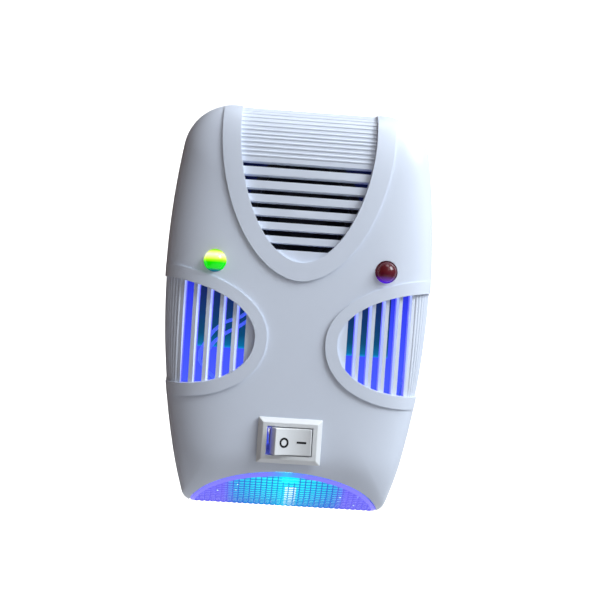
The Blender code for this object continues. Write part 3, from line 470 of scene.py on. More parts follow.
def housing_outline(inset, offset=0.0):
    """Barrel outline as (x, z) points, drawn in by an inset and grown by an offset."""
    sizes = housing()
    arc_radius = SIDE_RADIUS - inset + offset
    arc_x = sizes.half_width - SIDE_RADIUS
    top = sizes.top - inset + offset
    bottom = sizes.bottom + inset * BOTTOM_SPREAD - offset
    top_radius = TOP_CORNER - 0.3 * inset + offset
    low_radius = BOTTOM_CORNER + offset
    top_x, top_angle = corner_arc(top - top_radius, top_radius, arc_radius, arc_x)
    low_x, low_angle = corner_arc(bottom + low_radius, low_radius, arc_radius, arc_x)
    flat, low_steps, side_steps, top_steps = OUTLINE_STEPS
    half = [(low_x * i / flat, bottom) for i in range(flat)]
    for i in range(low_steps + 1):
        angle = -math.pi / 2 + (low_angle + math.pi / 2) * i / low_steps
        half.append((low_x + low_radius * math.cos(angle),
                     bottom + low_radius * (1 + math.sin(angle))))
    for i in range(1, side_steps):
        angle = low_angle + (top_angle - low_angle) * i / side_steps
        half.append((arc_x + arc_radius * math.cos(angle), WIDEST_Z + arc_radius * math.sin(angle)))
    for i in range(top_steps + 1):
        angle = top_angle + (math.pi / 2 - top_angle) * i / top_steps
        half.append((top_x + top_radius * math.cos(angle), top - top_radius * (1 - math.sin(angle))))
    half += [(top_x * i / flat, top) for i in range(flat - 1, -1, -1)]
    return half + [(-x, z) for x, z in half[-2:0:-1]]


def chin(z):
    """How far the front draws back towards the parting line below the switch."""
    depth = max(0.0, (CHIN_Z - z) / (CHIN_Z - housing().bottom))
    return 1 - CHIN_SWEEP * depth ** 2


def front_rings(offset=0.0, lift=0.0, steps=24):
    """Rings of the front's surface, from the parting line to the middle of the front.

    An offset moves the surface out all round; a lift moves the front and fades out at the walls.
    """
    sizes = housing()
    shoulder = sizes.parting - SHOULDER_DEPTH
    levels = [(0.0, sizes.parting, 0.0)]
    levels += [(SIDE_DRAFT * i / 4, sizes.parting - SHOULDER_DEPTH * i / 4, 0.0) for i in range(1, 5)]
    for i in range(1, steps + 1):
        angle = math.pi / 2 * i / steps
        inset = SIDE_DRAFT + CROWN_INSET * (1 - abs(math.cos(angle)) ** (2 / CROWN_POWER))
        rise = math.sin(angle) ** (2 / CROWN_POWER)
        levels.append((inset, shoulder + (sizes.front - shoulder) * rise, rise))
    rings = []
    for inset, y, rise in levels:
        rings.append([(x, sizes.parting + (y - sizes.parting) * chin(z) - (offset + lift) * rise, z)
                      for x, z in housing_outline(inset, offset + LIFT_AT_WALL * lift)])
    return rings


def front_skin(name, outer, inner, lift=0.0):
    """The skin between two offsets of the front's surface, its outer side lifted."""
    return wrapped(name, front_rings(outer, lift)[::-1] + front_rings(inner, steps=12))


def sunk_plate(name):
    """The floor of a grille: sunk less at the walls than on the front."""
    recess = housing().recess
    return front_skin(name, -WALL_RECESS, -recess - 2.4 * MM, WALL_RECESS - recess)


class Surface:
    """Finds points on an offset of the front's surface by casting rays at it."""

    def __init__(self, offset, lift=0.0):
        solid = wrapped("surface", front_rings(offset, lift))
        self.tree = BVHTree.FromObject(solid, bpy.context.evaluated_depsgraph_get())
        bpy.data.objects.remove(solid, do_unlink=True)

    def hit(self, start, direction):
        """Where a ray from inside meets the surface."""
        return self.tree.ray_cast(Vector(start), Vector(direction).normalized())[0]

    def front(self, x, z):
        """The point of the surface straight in front of a place."""
        return self.hit((x, housing().parting - 1 * MM, z), (0, -1, 0))


# ---------------------------------------------------------------- outlines

TOP_ARCH_Z = 59.7 * MM
TOP_ARCH_POWER = 1.9
TOP_OUTER = (28.7 * MM, 50.1 * MM)
TOP_INNER = (22.5 * MM, 44.1 * MM)
NOSE_Z = -9.7 * MM
UPPER_CENTRE_X = 50 * MM
LOWER_CENTRE_X = 40 * MM
LOWER_POWER = 2.2
SIDE_OUTER = (9.6 * MM, 22.6 * MM, 20.8 * MM)
SIDE_INNER = (13.5 * MM, 18.4 * MM, 16.6 * MM)
TOP_SLOT_Z = 20.5 * MM
TOP_SLOT_PITCH = 4.37 * MM
TOP_SLOTS = 7
SIDE_SLOT_X = 18.0 * MM
SIDE_SLOT_PITCH = 4.45 * MM
SIDE_SLOTS = 5
SIDE_SLOT_BEVEL = ((0, 2.1 * MM), (0.3 * MM, 1.1 * MM), (1.0 * MM, 0))
SLOT_END = -30 * MM
GRILLE_FACE = -45.1 * MM
GRILLE_BACK = -42.6 * MM


def arch(half_width, drop, grow=0.0, steps=28):
    """The open U line of the top grille, from its right end round to its left end."""
    half_width += grow
    drop += grow
    high = housing().top + 4 * MM
    line = [(half_width, high)]
    for i in range(2 * steps + 1):
        angle = math.pi / 2 * i / steps
        side = math.copysign(abs(math.cos(angle)) ** (2 / TOP_ARCH_POWER), math.cos(angle))
        line.append((half_width * side,
                     TOP_ARCH_Z - drop * abs(math.sin(angle)) ** (2 / TOP_ARCH_POWER)))
    return line + [(-half_width, high)]


def arch_half_width(z, half_width, drop):
    """Half width of the U line at a height."""
    fall = max(0.0, (TOP_ARCH_Z - z) / drop)
    return half_width * max(0.0, 1 - fall ** TOP_ARCH_POWER) ** (1 / TOP_ARCH_POWER)


def side_arch(nose_x, rise, fall, side, grow=0.0, steps=24):
    """The open D line of a side grille, from the upper wall round the nose to the lower."""
    nose_x -= grow
    rise += grow
    fall += grow
    upper = UPPER_CENTRE_X - nose_x
    lower = LOWER_CENTRE_X - nose_x
    line = []
    for i in range(steps + 1):
        angle = math.pi / 2 * (1 - i / steps)
        line.append((UPPER_CENTRE_X - upper * math.cos(angle), NOSE_Z + rise * math.sin(angle)))
    for i in range(1, steps + 1):
        angle = math.pi / 2 * i / steps
        line.append((LOWER_CENTRE_X - lower * abs(math.cos(angle)) ** (2 / LOWER_POWER),
                     NOSE_Z - fall * math.sin(angle) ** (2 / LOWER_POWER)))
    line.append((UPPER_CENTRE_X, NOSE_Z - fall))
    return [(side * x, z) for x, z in line]


def moon(grow=0.0, steps=48):
    """The half-moon of the night light, closed below the housing's bottom."""
    sizes = details()
    low = housing().bottom
    line = []
    for i in range(steps + 1):
        angle = math.pi * i / steps
        line.append(((sizes.lens_half_width + grow) * math.cos(angle),
                     low + (sizes.lens_height + grow) * math.sin(angle)))
    below = low - 3 * MM
    wide = sizes.lens_half_width + grow
    return line + [(-wide, below), (wide, below)]


# ---------------------------------------------------------------- pieces

LENS_BACK = -23 * MM
LENS_EDGE = -0.35 * MM
HIDDEN_JOIN = 2.2 * MM
SWITCH_OPENING = (19.6 * MM, 30 * MM, 13.2 * MM)
POST_RADIUS = 3.5 * MM
POSTS = ((-34 * MM, 47 * MM, -41.4 * MM), (34 * MM, 47 * MM, -41.4 * MM),
         (-30 * MM, -45 * MM, -42 * MM), (30 * MM, -45 * MM, -42 * MM))


class REPELLER_OT_cover_shell(bpy.types.Operator):
    """Build the smooth white front shell with its openings"""
    bl_idname = "repeller.cover_shell"
    bl_label = "Front shell"

    def execute(self, context):
        sizes = housing()
        small = details()
        shell = front_skin("front_cover_shell", 0.0, -sizes.wall)
        far = sizes.parting + 1 * MM
        carve(shell, prism("cut", arch(*TOP_INNER, grow=HIDDEN_JOIN), FRONT_NEAR, far))
        for side in (-1, 1):
            line = side_arch(*SIDE_INNER, side, grow=HIDDEN_JOIN)
            carve(shell, prism("cut", line, FRONT_NEAR, far))
            x = side * small.lamp_x
            carve(shell, rod("cut", small.lamp_radius + 0.3 * MM, (x, FRONT_NEAR, small.lamp_z),
                             (x, -35 * MM, small.lamp_z), 48))
        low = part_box("switch_housing")[0]
        carve(shell, block("cut", SWITCH_OPENING, (0, low.y, small.switch_z)))
        carve(shell, prism("cut", moon(), FRONT_NEAR, LENS_BACK))
        for x, z, end in POSTS:
            post = rod("post", POST_RADIUS, (x, sizes.parting, z), (x, end, z))
            carve(shell, post, operation="UNION")
        round_edges(shell, 0.25 * MM)
        complete_cover(shell)
        return {"FINISHED"}


class REPELLER_OT_bands(bpy.types.Operator):
    """Build the raised bands that frame the three grilles"""
    bl_idname = "repeller.bands"
    bl_label = "Bands"

    def execute(self, context):
        sizes = housing()
        far = sizes.parting + 1 * MM
        shapes = [("top_band", arch(*TOP_OUTER) + arch(*TOP_INNER)[::-1])]
        for label, side in (("left", -1), ("right", 1)):
            line = side_arch(*SIDE_OUTER, side) + side_arch(*SIDE_INNER, side)[::-1]
            shapes.append((f"{label}_band", line))
        for name, line in shapes:
            band = front_skin(name, 0.0, -sizes.recess - 1.2 * MM, sizes.band_rise)
            carve(band, prism("strip", line, FRONT_NEAR, far), operation="INTERSECT")
            round_edges(band, sizes.band_edge, 4)
            complete_cover(band)
        return {"FINISHED"}


class REPELLER_OT_top_grille(bpy.types.Operator):
    """Build the sunk top grille with its slots and the ribs that run over the top"""
    bl_idname = "repeller.top_grille"
    bl_label = "Top grille"

    def execute(self, context):
        sizes = housing()
        far = sizes.parting + 1 * MM
        plate = sunk_plate("top_grille_plate")
        carve(plate, prism("edge", arch(*TOP_INNER, grow=1 * MM), FRONT_NEAR, far),
              operation="INTERSECT")
        slots = []
        for i in range(TOP_SLOTS):
            centre = TOP_SLOT_Z + i * TOP_SLOT_PITCH
            low = centre - 0.95 * MM + i * 0.08 * MM
            high = centre + 0.95 * MM - i * 0.03 * MM
            chamfer = 0.3 * MM + i * 0.06 * MM
            section = [(low, FRONT_NEAR), (low, SLOT_END), (high, SLOT_END), (high, GRILLE_BACK),
                       (high + chamfer, GRILLE_FACE), (high + chamfer, FRONT_NEAR)]
            slots.append(wrapped("slot", [[(x, y, z) for z, y in section]
                                          for x in (-30 * MM, 30 * MM)]))
        slots = merge("slots", slots)
        carve(slots, prism("clip", arch(*TOP_INNER, grow=-0.1 * MM), FRONT_NEAR, far),
              operation="INTERSECT")
        carve(plate, slots)
        round_edges(plate, 0.35 * MM, 3)
        complete_cover(plate)
        ribs = merge("top_grille_ribs", [strand("rib", line, 0.55 * MM) for line in self.lines()])
        smooth(ribs, 60)
        complete_cover(ribs)
        return {"FINISHED"}

    def lines(self):
        """The path of each fine rib across the front, round the edge and over the top."""
        sizes = housing()
        surface = Surface(-WALL_RECESS - RIB_SINK, WALL_RECESS - sizes.recess)
        turn_y, turn_z = -34 * MM, 56 * MM
        first = TOP_SLOT_Z + TOP_SLOTS * TOP_SLOT_PITCH - 1.1 * MM
        rays = []
        z = first
        while z < turn_z:
            rays.append(((turn_y, z), (-1, 0)))
            z += sizes.rib_pitch
        angle = math.asin((z - turn_z) / (-sizes.front + turn_y))
        while angle < math.pi / 2:
            rays.append(((turn_y, turn_z), (-math.cos(angle), math.sin(angle))))
            reach = surface.hit((0, turn_y, turn_z), (0, -math.cos(angle), math.sin(angle)))
            angle += sizes.rib_pitch / (reach - Vector((0, turn_y, turn_z))).length
        y = turn_y + sizes.rib_pitch * 0.6
        while y < sizes.parting - 1 * MM:
            rays.append(((y, turn_z), (0, 1)))
            y += sizes.rib_pitch
        for (start_y, start_z), (toward_y, toward_z) in rays:
            half = arch_half_width(start_z, *TOP_INNER) + 0.3 * MM
            line = []
            for i in range(25):
                x = half * (i / 12 - 1)
                line.append(surface.hit((x, start_y, start_z), (0, toward_y, toward_z)))
            yield line


def paint_slot_wall_glow(plate, chosen):
    """Paint the inside's violet light on the chosen slot walls as glow, paler towards the front as a
    painted highlight on the edges.
    """
    # Painted light: deep walls glow violet, the front edges get a paler painted glow as highlight.
    for name, base, light in (("slot wall painted glow", (0.3, 0.3, 0.6), (0.1, 0.09, 0.9)),
                              ("slot edge painted glow and highlight", (0.6, 0.65, 0.8), (0.32, 0.4, 0.8))):
        lit = finish(name, base, 0.45, shift=0.05, scale=80)
        plate.data.materials.append(glow(lit, light, 0.8))
    for face in plate.data.polygons:
        if chosen(face):
            face.material_index = 1 if abs(face.normal.x) > 0.9 else 2


class REPELLER_OT_side_grilles(bpy.types.Operator):
    """Build the two sunk side grilles with their slots and upright ribs"""
    bl_idname = "repeller.side_grilles"
    bl_label = "Side grilles"

    def execute(self, context):
        sizes = housing()
        far = sizes.parting + 1 * MM
        surface = Surface(-WALL_RECESS - RIB_SINK, WALL_RECESS - sizes.recess)
        for label, side in (("left", -1), ("right", 1)):
            plate = sunk_plate(f"{label}_grille_plate")
            carve(plate, prism("edge", side_arch(*SIDE_INNER, side, grow=1 * MM), FRONT_NEAR, far),
                  operation="INTERSECT")
            slots = []
            for i in range(SIDE_SLOTS):
                centre = SIDE_SLOT_X + i * SIDE_SLOT_PITCH
                face = surface.front(side * centre, NOSE_Z).y
                inner = centre - 1.25 * MM
                outer = centre + 0.95 * MM
                section = [(inner, FRONT_NEAR), (inner, SLOT_END), (outer, SLOT_END)]
                section += [(outer + step, face + depth) for step, depth in SIDE_SLOT_BEVEL]
                section.append((outer + 1.1 * MM, FRONT_NEAR))
                slots.append(wrapped("slot", [[(side * x, y, NOSE_Z + z) for x, y in section]
                                              for z in (-30 * MM, 30 * MM)]))
            slots = merge("slots", slots)
            carve(slots, prism("clip", side_arch(*SIDE_INNER, side, grow=-0.1 * MM), FRONT_NEAR, far),
                  operation="INTERSECT")
            carve(plate, slots)
            round_edges(plate, 0.3 * MM, 3)
            complete_cover(plate)
            paint_slot_wall_glow(plate, lambda face: side * face.normal.x < -0.45
                            and face.normal.y > -0.6 and SLOT_END > face.center.y)
            ribs = [strand("rib", line, 0.6 * MM) for line in self.lines(surface, side)]
            ribs = smooth(merge(f"{label}_grille_ribs", ribs), 60)
            complete_cover(ribs)
        return {"FINISHED"}

    def lines(self, surface, side):
        """The path of each upright rib, round the edge and along the side wall."""
        sizes = housing()
        low = NOSE_Z - SIDE_INNER[2] - 0.6 * MM
        high = NOSE_Z + SIDE_INNER[1] - 0.3 * MM
        turn_x, turn_y = 35.5 * MM, -34 * MM
        edge_radius = 10.5 * MM
        rays = []
        angle = math.radians(26)
        while angle < math.pi / 2:
            rays.append((turn_y, (side * math.sin(angle), -math.cos(angle))))
            angle += sizes.rib_pitch / edge_radius
        y = turn_y + sizes.rib_pitch
        while y < sizes.parting - 1 * MM:
            rays.append((y, (side, 0)))
            y += sizes.rib_pitch
        for start_y, (toward_x, toward_y) in rays:
            line = []
            for i in range(17):
                z = low + (high - low) * i / 16
                line.append(surface.hit((side * turn_x, start_y, z), (toward_x, toward_y, 0)))
            yield line


SEAT_SIZE = (26 * MM, 4 * MM, 12 * MM)
BLADE_SLIT = (2.12 * MM, 20 * MM, 6.95 * MM)
SLEEVE_RADIUS = 4.2 * MM
SCREW_BORE = 1.7 * MM
COUNTERBORE = 3.3 * MM
VENT_X = 14 * MM
VENT_TOP = -31 * MM
VENT_PITCH = 4.5 * MM
VENT_WIDTH = 18 * MM
VENT_DEPTH = 8 * MM


class REPELLER_OT_rear_cover(bpy.types.Operator):
    """Build the rear cover with its sleeves, blade seat and vents"""
    bl_idname = "repeller.rear_cover"
    bl_label = "Rear cover"

    def execute(self, context):
        sizes = housing()
        edge = 2.4 * MM
        gap = 0.3 * MM
        levels = []
        for i in range(7):
            angle = math.pi / 2 * i / 6
            levels.append((edge * (1 - math.sin(angle)), -edge * (1 - math.cos(angle))))
        lip_out = sizes.wall + gap
        lip_in = lip_out + 1.2 * MM
        levels += [(0, sizes.parting + 0.6 * MM), (0.3 * MM, sizes.parting + gap),
                   (lip_out, sizes.parting + gap), (lip_out, sizes.parting - 1.6 * MM),
                   (lip_in, sizes.parting - 1.6 * MM), (lip_in, sizes.parting + 1.4 * MM),
                   (sizes.wall, sizes.parting + 2.6 * MM), (sizes.wall + 0.6 * MM, -sizes.wall)]
        rings = [[(x, y, z) for x, z in housing_outline(0.0, -inset)] for inset, y in levels]
        cover = wrapped("rear_cover_tray", rings)
        plug_z = sum(point.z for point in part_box("plug_blade_left")) / 2
        posts = [tuple((low + high) / 2 for low, high in zip(*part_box(f"cover_screw_{corner}")))
                 for corner in ("upper_left", "upper_right", "lower_left", "lower_right")]
        for x, _, z in posts:
            sleeve = rod("sleeve", SLEEVE_RADIUS, (x, -1 * MM, z), (x, sizes.parting + gap, z))
            carve(cover, sleeve, operation="UNION")
        carve(cover, block("seat", SEAT_SIZE, (0, -3.6 * MM, plug_z)), operation="UNION")
        for x, _, z in posts:
            carve(cover, rod("bore", SCREW_BORE, (x, 1 * MM, z), (x, sizes.parting - 1 * MM, z)))
            carve(cover, rod("bore", COUNTERBORE, (x, 1 * MM, z), (x, -6 * MM, z)))
        for node in ("plug_blade_left", "plug_blade_right"):
            low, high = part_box(node)
            centre = (low + high) / 2
            carve(cover, block("slit", BLADE_SLIT, (centre.x, 0, plug_z)))
        for row in range(4):
            for side in (-1, 1):
                centre = (side * VENT_X, 0, VENT_TOP - row * VENT_PITCH)
                carve(cover, block("vent", (VENT_WIDTH, VENT_DEPTH, sizes.slot), centre))
        round_edges(cover, 0.25 * MM)
        complete_cover(cover, "rear_cover")
        self.paint_spill_inside(cover, posts)
        return {"FINISHED"}

    def paint_spill_inside(self, cover, posts):
        """Paint the night light's spill and the dark shade on the inner faces, but not the seam or the
        bores.
        """
        cover.data.materials.append(finish_named("inner wall painted spill and shade"))
        for face in cover.data.polygons:
            spot = face.center
            in_bore = any(math.hypot(spot.x - x, spot.z - z) < 3.5 * MM for x, _, z in posts)
            deep = housing().parting + 1 * MM < spot.y < -1.5 * MM
            if deep and not in_bore and self.faces_inwards(face):
                face.material_index = 1

    def faces_inwards(self, face):
        sideways = face.normal.x * face.center.x + face.normal.z * face.center.z
        return face.normal.y < -0.5 or sideways < 0


PRISM_ROWS = 24
SIDE_STEPS = ((0.0, 0.0), (0.2, 0.2), (0.48, 0.28), (0.8, 0.2))
DOWN_STEPS = ((0.0, 0.0), (0.14, 0.28), (0.6, 0.2))
WINDOW_X = 1.3 * MM
WINDOW_HALF = 2.7 * MM
WINDOW_LOW = -57.1 * MM
GLINT_X = 15 * MM
GLINT_EVERY = 89
HOT_LEFT = 0.1 * MM
HOT_RIGHT = 3.5 * MM
HOT_TOP = -58.5 * MM
RIM_WIDTH = 1.5 * MM


class REPELLER_OT_night_light(bpy.types.Operator):
    """Build the half-moon lens with its rim and rows of small prisms"""
    bl_idname = "repeller.night_light"
    bl_label = "Night light lens"

    def execute(self, context):
        base = front_skin("lens_body", -1.1 * MM, -2.0 * MM)
        carve(base, prism("edge", moon(LENS_EDGE), FRONT_NEAR, LENS_BACK - 0.3 * MM),
              operation="INTERSECT")
        smooth(base)
        # The lens body takes the painted shade colours.
        complete(base, self.lens_finish("lens clear", self.shadow_tints()),
                 stands_for=("night_light_lens",))
        rim = front_skin("lens_rim", -0.1 * MM, -1.6 * MM)
        ring = moon(LENS_EDGE)[:-2] + moon(-1.7 * MM)[:-2][::-1]
        carve(rim, prism("edge", ring, FRONT_NEAR, LENS_BACK - 0.3 * MM), operation="INTERSECT")
        round_edges(rim, 0.2 * MM)
        rim_tints = ((0.0, (0.03, 0.5, 0.95)), (0.08, (0.08, 0.3, 0.95)), (0.2, (0.2, 0.18, 0.95)),
                     (1.0, (0.22, 0.18, 0.95)))
        complete(rim, self.lens_finish("lens rim", rim_tints),
                 stands_for=("night_light_lens",))
        self.prisms()
        return {"FINISHED"}

    def prisms(self):
        """Rows of prisms: each has a bright glowing face and short steps beside and above it, coloured
        in painted shade.
        """
        sizes = details()
        surface = Surface(-0.75 * MM)
        columns = round(2 * sizes.lens_half_width / sizes.prism_pitch)
        rows = PRISM_ROWS
        across = len(SIDE_STEPS)
        downs = len(DOWN_STEPS)
        centre_y, centre_z = -25 * MM, -52.5 * MM
        deselect()
        bpy.ops.mesh.primitive_grid_add(x_subdivisions=columns * across, y_subdivisions=rows * downs,
                                        size=1.0)
        piece = bpy.context.object
        piece.name = "lens_prisms"
        for name, stops in (("lens bright facet", self.bright_tints()),
                            ("lens painted shade facet", self.shadow_tints())):
            piece.data.materials.append(self.lens_finish(name, stops))
        hot_and_glint = glow(finish("lens hot facet and painted glint", (0.1, 0.3, 0.3), 0.1), (0.75, 1.0, 1.0), 1.0)
        piece.data.materials.append(hot_and_glint)
        for vertex in piece.data.vertices:
            column, step = divmod(round((vertex.co.x + 0.5) * columns * across), across)
            row, level = divmod(round((vertex.co.y + 0.5) * rows * downs), downs)
            x = ((column + SIDE_STEPS[step][0]) / columns - 0.5) * 2 * sizes.lens_half_width
            angle = math.radians(-6 + 96 * (row + DOWN_STEPS[level][0]) / rows)
            outward = Vector((0, -math.cos(angle), -math.sin(angle)))
            point = surface.hit((x, centre_y, centre_z), outward)
            vertex.co = point + outward * (SIDE_STEPS[step][1] + DOWN_STEPS[level][1]) * MM
        self.sort_facets(piece, columns * across, across, downs)
        self.trim(piece)
        modify(piece, "SOLIDIFY", thickness=0.3 * MM, offset=-1.0)
        complete(piece, None, stands_for=("night_light_lens",))

    def sort_facets(self, piece, width, across, downs):
        """Mark the plain window, the steps in painted shade, scattered facets with painted glints, and
        the hottest prisms in front of the lamp.
        """
        for number, face in enumerate(piece.data.polygons):
            level, step = divmod(number, width)
            side = step % across
            down = level % downs
            spot = face.center
            window = abs(spot.x - WINDOW_X) < WINDOW_HALF and spot.z > WINDOW_LOW
            # Painted glints: every so many facets away from the middle take the hottest glow.
            painted_glint = abs(spot.x) > GLINT_X and number % GLINT_EVERY == 0
            hottest = HOT_LEFT < spot.x < HOT_RIGHT and spot.z < HOT_TOP
            if window:
                face.material_index = 0
            elif side == 0 or down == 0:
                face.material_index = 1
            elif painted_glint or hottest:
                face.material_index = 2

    def trim(self, piece):
        """Keep the prisms that lie inside the rim."""
        sizes = details()
        reach = sizes.lens_half_width - RIM_WIDTH
        height = sizes.lens_height - RIM_WIDTH
        low = housing().bottom
        bpy.ops.object.mode_set(mode="EDIT")
        bpy.ops.mesh.select_all(action="SELECT")
        bpy.ops.mesh.normals_make_consistent(inside=False)
        bpy.ops.mesh.select_all(action="DESELECT")
        bpy.ops.object.mode_set(mode="OBJECT")
        middle = min(piece.data.polygons,
                     key=lambda face: abs(face.center.x) + abs(face.center.z - low))
        if middle.normal.z > 0:
            piece.data.flip_normals()
        for face in piece.data.polygons:
            spot = face.center
            inside = (spot.x / reach) ** 2 + (max(0.0, spot.z - low) / height) ** 2
            face.select = inside > 1 or spot.y > LENS_BACK - 1 * MM
        bpy.ops.object.mode_set(mode="EDIT")
        bpy.ops.mesh.delete(type="FACE")
        bpy.ops.object.mode_set(mode="OBJECT")

    def bright_tints(self):
        shade = colours()
        return ((0.0, (0.0, 0.92, 0.97)), (0.2, shade.night_centre), (0.4, (0.0, 0.62, 0.8)),
                (0.54, (0.03, 0.42, 0.78)), (0.63, shade.night_ends), (1.0, shade.night_ends))

    # Painted shade: the darker copy of the lens glow, for the prism steps and the lens body under
    # them.
    def shadow_tints(self):
        return ((0.0, (0.0, 0.45, 0.75)), (0.12, (0.01, 0.2, 0.6)), (0.5, (0.03, 0.12, 0.6)),
                (0.62, (0.13, 0.11, 0.76)), (1.0, (0.14, 0.12, 0.8)))

    def lens_finish(self, name, stops):
        """Clear plastic lit from behind: cyan in the middle, violet blue at the ends."""
        material = finish(name, (0.01, 0.04, 0.16), 0.12, shift=0.1, scale=80, bump=0.02)
        shader = material.node_tree.nodes["Principled BSDF"]
        shader.inputs["Coat Weight"].default_value = 0.3
        shader.inputs["Coat Roughness"].default_value = 0.1
        return glow_along(material, "X", 0.0, details().lens_half_width, stops, mirrored=True)


class REPELLER_OT_lamps(bpy.types.Operator):
    """Build the lit green lamp and the unlit red lamp"""
    bl_idname = "repeller.lamps"
    bl_label = "Round lamps"

    def execute(self, context):
        sizes = details()
        radius = sizes.lamp_radius
        for node, side in (("green_led", -1), ("red_led", 1)):
            low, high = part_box(node)
            centre = (low + high) / 2
            tip = low.y
            rim = radius + 0.6 * MM
            dome = [(radius * math.cos(a), radius * (1 - math.sin(a)))
                    for a in [math.radians(89 - 5.5 * i) for i in range(17)]]
            back = high.y - tip
            profile = dome + [(radius, back - 1.7 * MM), (radius + 0.1 * MM, back - 1.6 * MM),
                              (rim, back - 1.5 * MM), (rim, back)]
            body = turned(f"{node}_dome", profile, (centre.x, tip, centre.z))
            smooth(body, 40)
            complete(body, self.lamp_finish(node, centre, radius),
                     stands_for=(node,))
        return {"FINISHED"}

    def lamp_finish(self, node, centre, radius):
        """Tinted epoxy. The lit lamp glows by itself, hottest as a painted white-yellow highlight on
        the upper half of its dome; the unlit lamp gets painted violet spill at its lower edge and a
        faint painted maroon glow.
        """
        shade = colours()
        if node == "red_led":
            material = finish(node, shade.dark_red, 0.24, shift=0.2, scale=150, bump=0.01,
                              spread=0.03)
            # Painted light: violet spill from the night light on the unlit lamp's lower edge, then a
            # faint painted maroon glow.
            stops = ((0.0, (0.06, 0.01, 0.6)), (0.16, (0.06, 0.005, 0.22)), (0.3, (0.03, 0.0, 0.01)),
                     (0.55, (0.045, 0.002, 0.003)), (1.0, (0.02, 0.0, 0.002)))
        else:
            material = finish(node, shade.lit_green, 0.14, shift=0.05, scale=100, bump=0.01,
                              spread=0.03)
            # The lit lamp's own green glow, with a painted white-yellow highlight on its upper half;
            # darker and bluer at its lowest edge.
            stops = ((0.0, (0.0, 0.06, 0.2)), (0.06, (0.0, 0.2, 0.1)), (0.13, (0.0, 0.65, 0.0)),
                     (0.4, (0.0, 0.75, 0.0)), (0.5, (0.35, 1.0, 0.0)), (0.58, (0.85, 1.0, 0.08)),
                     (0.78, (1.0, 1.0, 0.75)), (0.92, (0.9, 1.0, 0.1)), (1.0, (0.3, 0.8, 0.0)))
        return glow_along(material, "Z", centre.z - radius, centre.z + radius, stops)


BEZEL_SIZE = (21 * MM, 2 * MM, 15 * MM)
BEZEL_BEVEL = 1.5 * MM
BODY_SIZE = (19 * MM, 14.5 * MM, 12.6 * MM)
HOLLOW_SIZE = (15 * MM, 14.8 * MM, 9.4 * MM)
ROCKER_TILT = math.radians(11)
ROCKER_HALF = 4.4 * MM
ROCKER_UNDERSIDE = [(6.7, 3.2), (6.7, 1.2), (3.2, -0.6), (2.4, -3.8), (-2.4, -3.8), (-3.2, -0.6),
                    (-6.7, 1.2), (-6.7, 3.2)]
DISH_SWEEP = 0.36
DISH_HALF = 6.1
DISH_LOW = 5.2
DISH_RISE = 1.1
STROKE = 0.68 * MM
MARK_RISE = 0.035 * MM
MARK_FLATTENING = 0.1


class REPELLER_OT_switch_housing(bpy.types.Operator):
    """Build the snap-in switch body and its bevelled bezel"""
    bl_idname = "repeller.switch_housing"
    bl_label = "Switch housing"

    def execute(self, context):
        low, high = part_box("switch_housing")
        z = details().switch_z
        seat = low.y + 2 * MM
        bezel = block("switch_bezel", BEZEL_SIZE, (0, seat - 1 * MM, z))
        bpy.ops.object.mode_set(mode="EDIT")
        bpy.ops.mesh.select_all(action="DESELECT")
        bpy.ops.object.mode_set(mode="OBJECT")
        for edge in bezel.data.edges:
            ends = [bezel.data.vertices[i].co for i in edge.vertices]
            edge.select = all(end.y < seat - 1.5 * MM for end in ends)
        bpy.ops.object.mode_set(mode="EDIT")
        bpy.ops.mesh.bevel(offset=BEZEL_BEVEL, segments=1, affect="EDGES")
        bpy.ops.object.mode_set(mode="OBJECT")
        carve(bezel, block("body", BODY_SIZE, (0, seat + 6.75 * MM, z)), operation="UNION")
        carve(bezel, block("hollow", HOLLOW_SIZE, (0, seat + 5.2 * MM, z)))
        pivot = Vector(joint_named("rocker_pivot")["pos_m"])
        pocket = 5.9 * MM
        carve(bezel, rod("pocket", 1.3 * MM, (0, pivot.y, z - pocket), (0, pivot.y, z + pocket)))
        for x in (0, -6 * MM):
            carve(bezel, block("slit", (1.4 * MM, 8 * MM, 5.4 * MM), (x, high.y - 1.4 * MM, z)))
        round_edges(bezel, 0.22 * MM, 3, 25)
        complete(bezel, finish_named("switch white"), stands_for=("switch_housing",))
        # Painted light: the faces inside the gap beside the rocker glow blue, standing in for the
        # night light's spill seen through it.
        spill = finish("switch gap painted glow", (0.1, 0.1, 0.3), 0.5, shift=0.05, scale=80)
        bezel.data.materials.append(glow(spill, (0.05, 0.07, 0.5), 1.0))
        for face in bezel.data.polygons:
            spot = face.center
            inside = -7.6 * MM < spot.x < -5.5 * MM and abs(spot.z - z) < 4.75 * MM
            if inside and seat - 0.6 * MM < spot.y < high.y - 1 * MM:
                face.material_index = 1
        return {"FINISHED"}


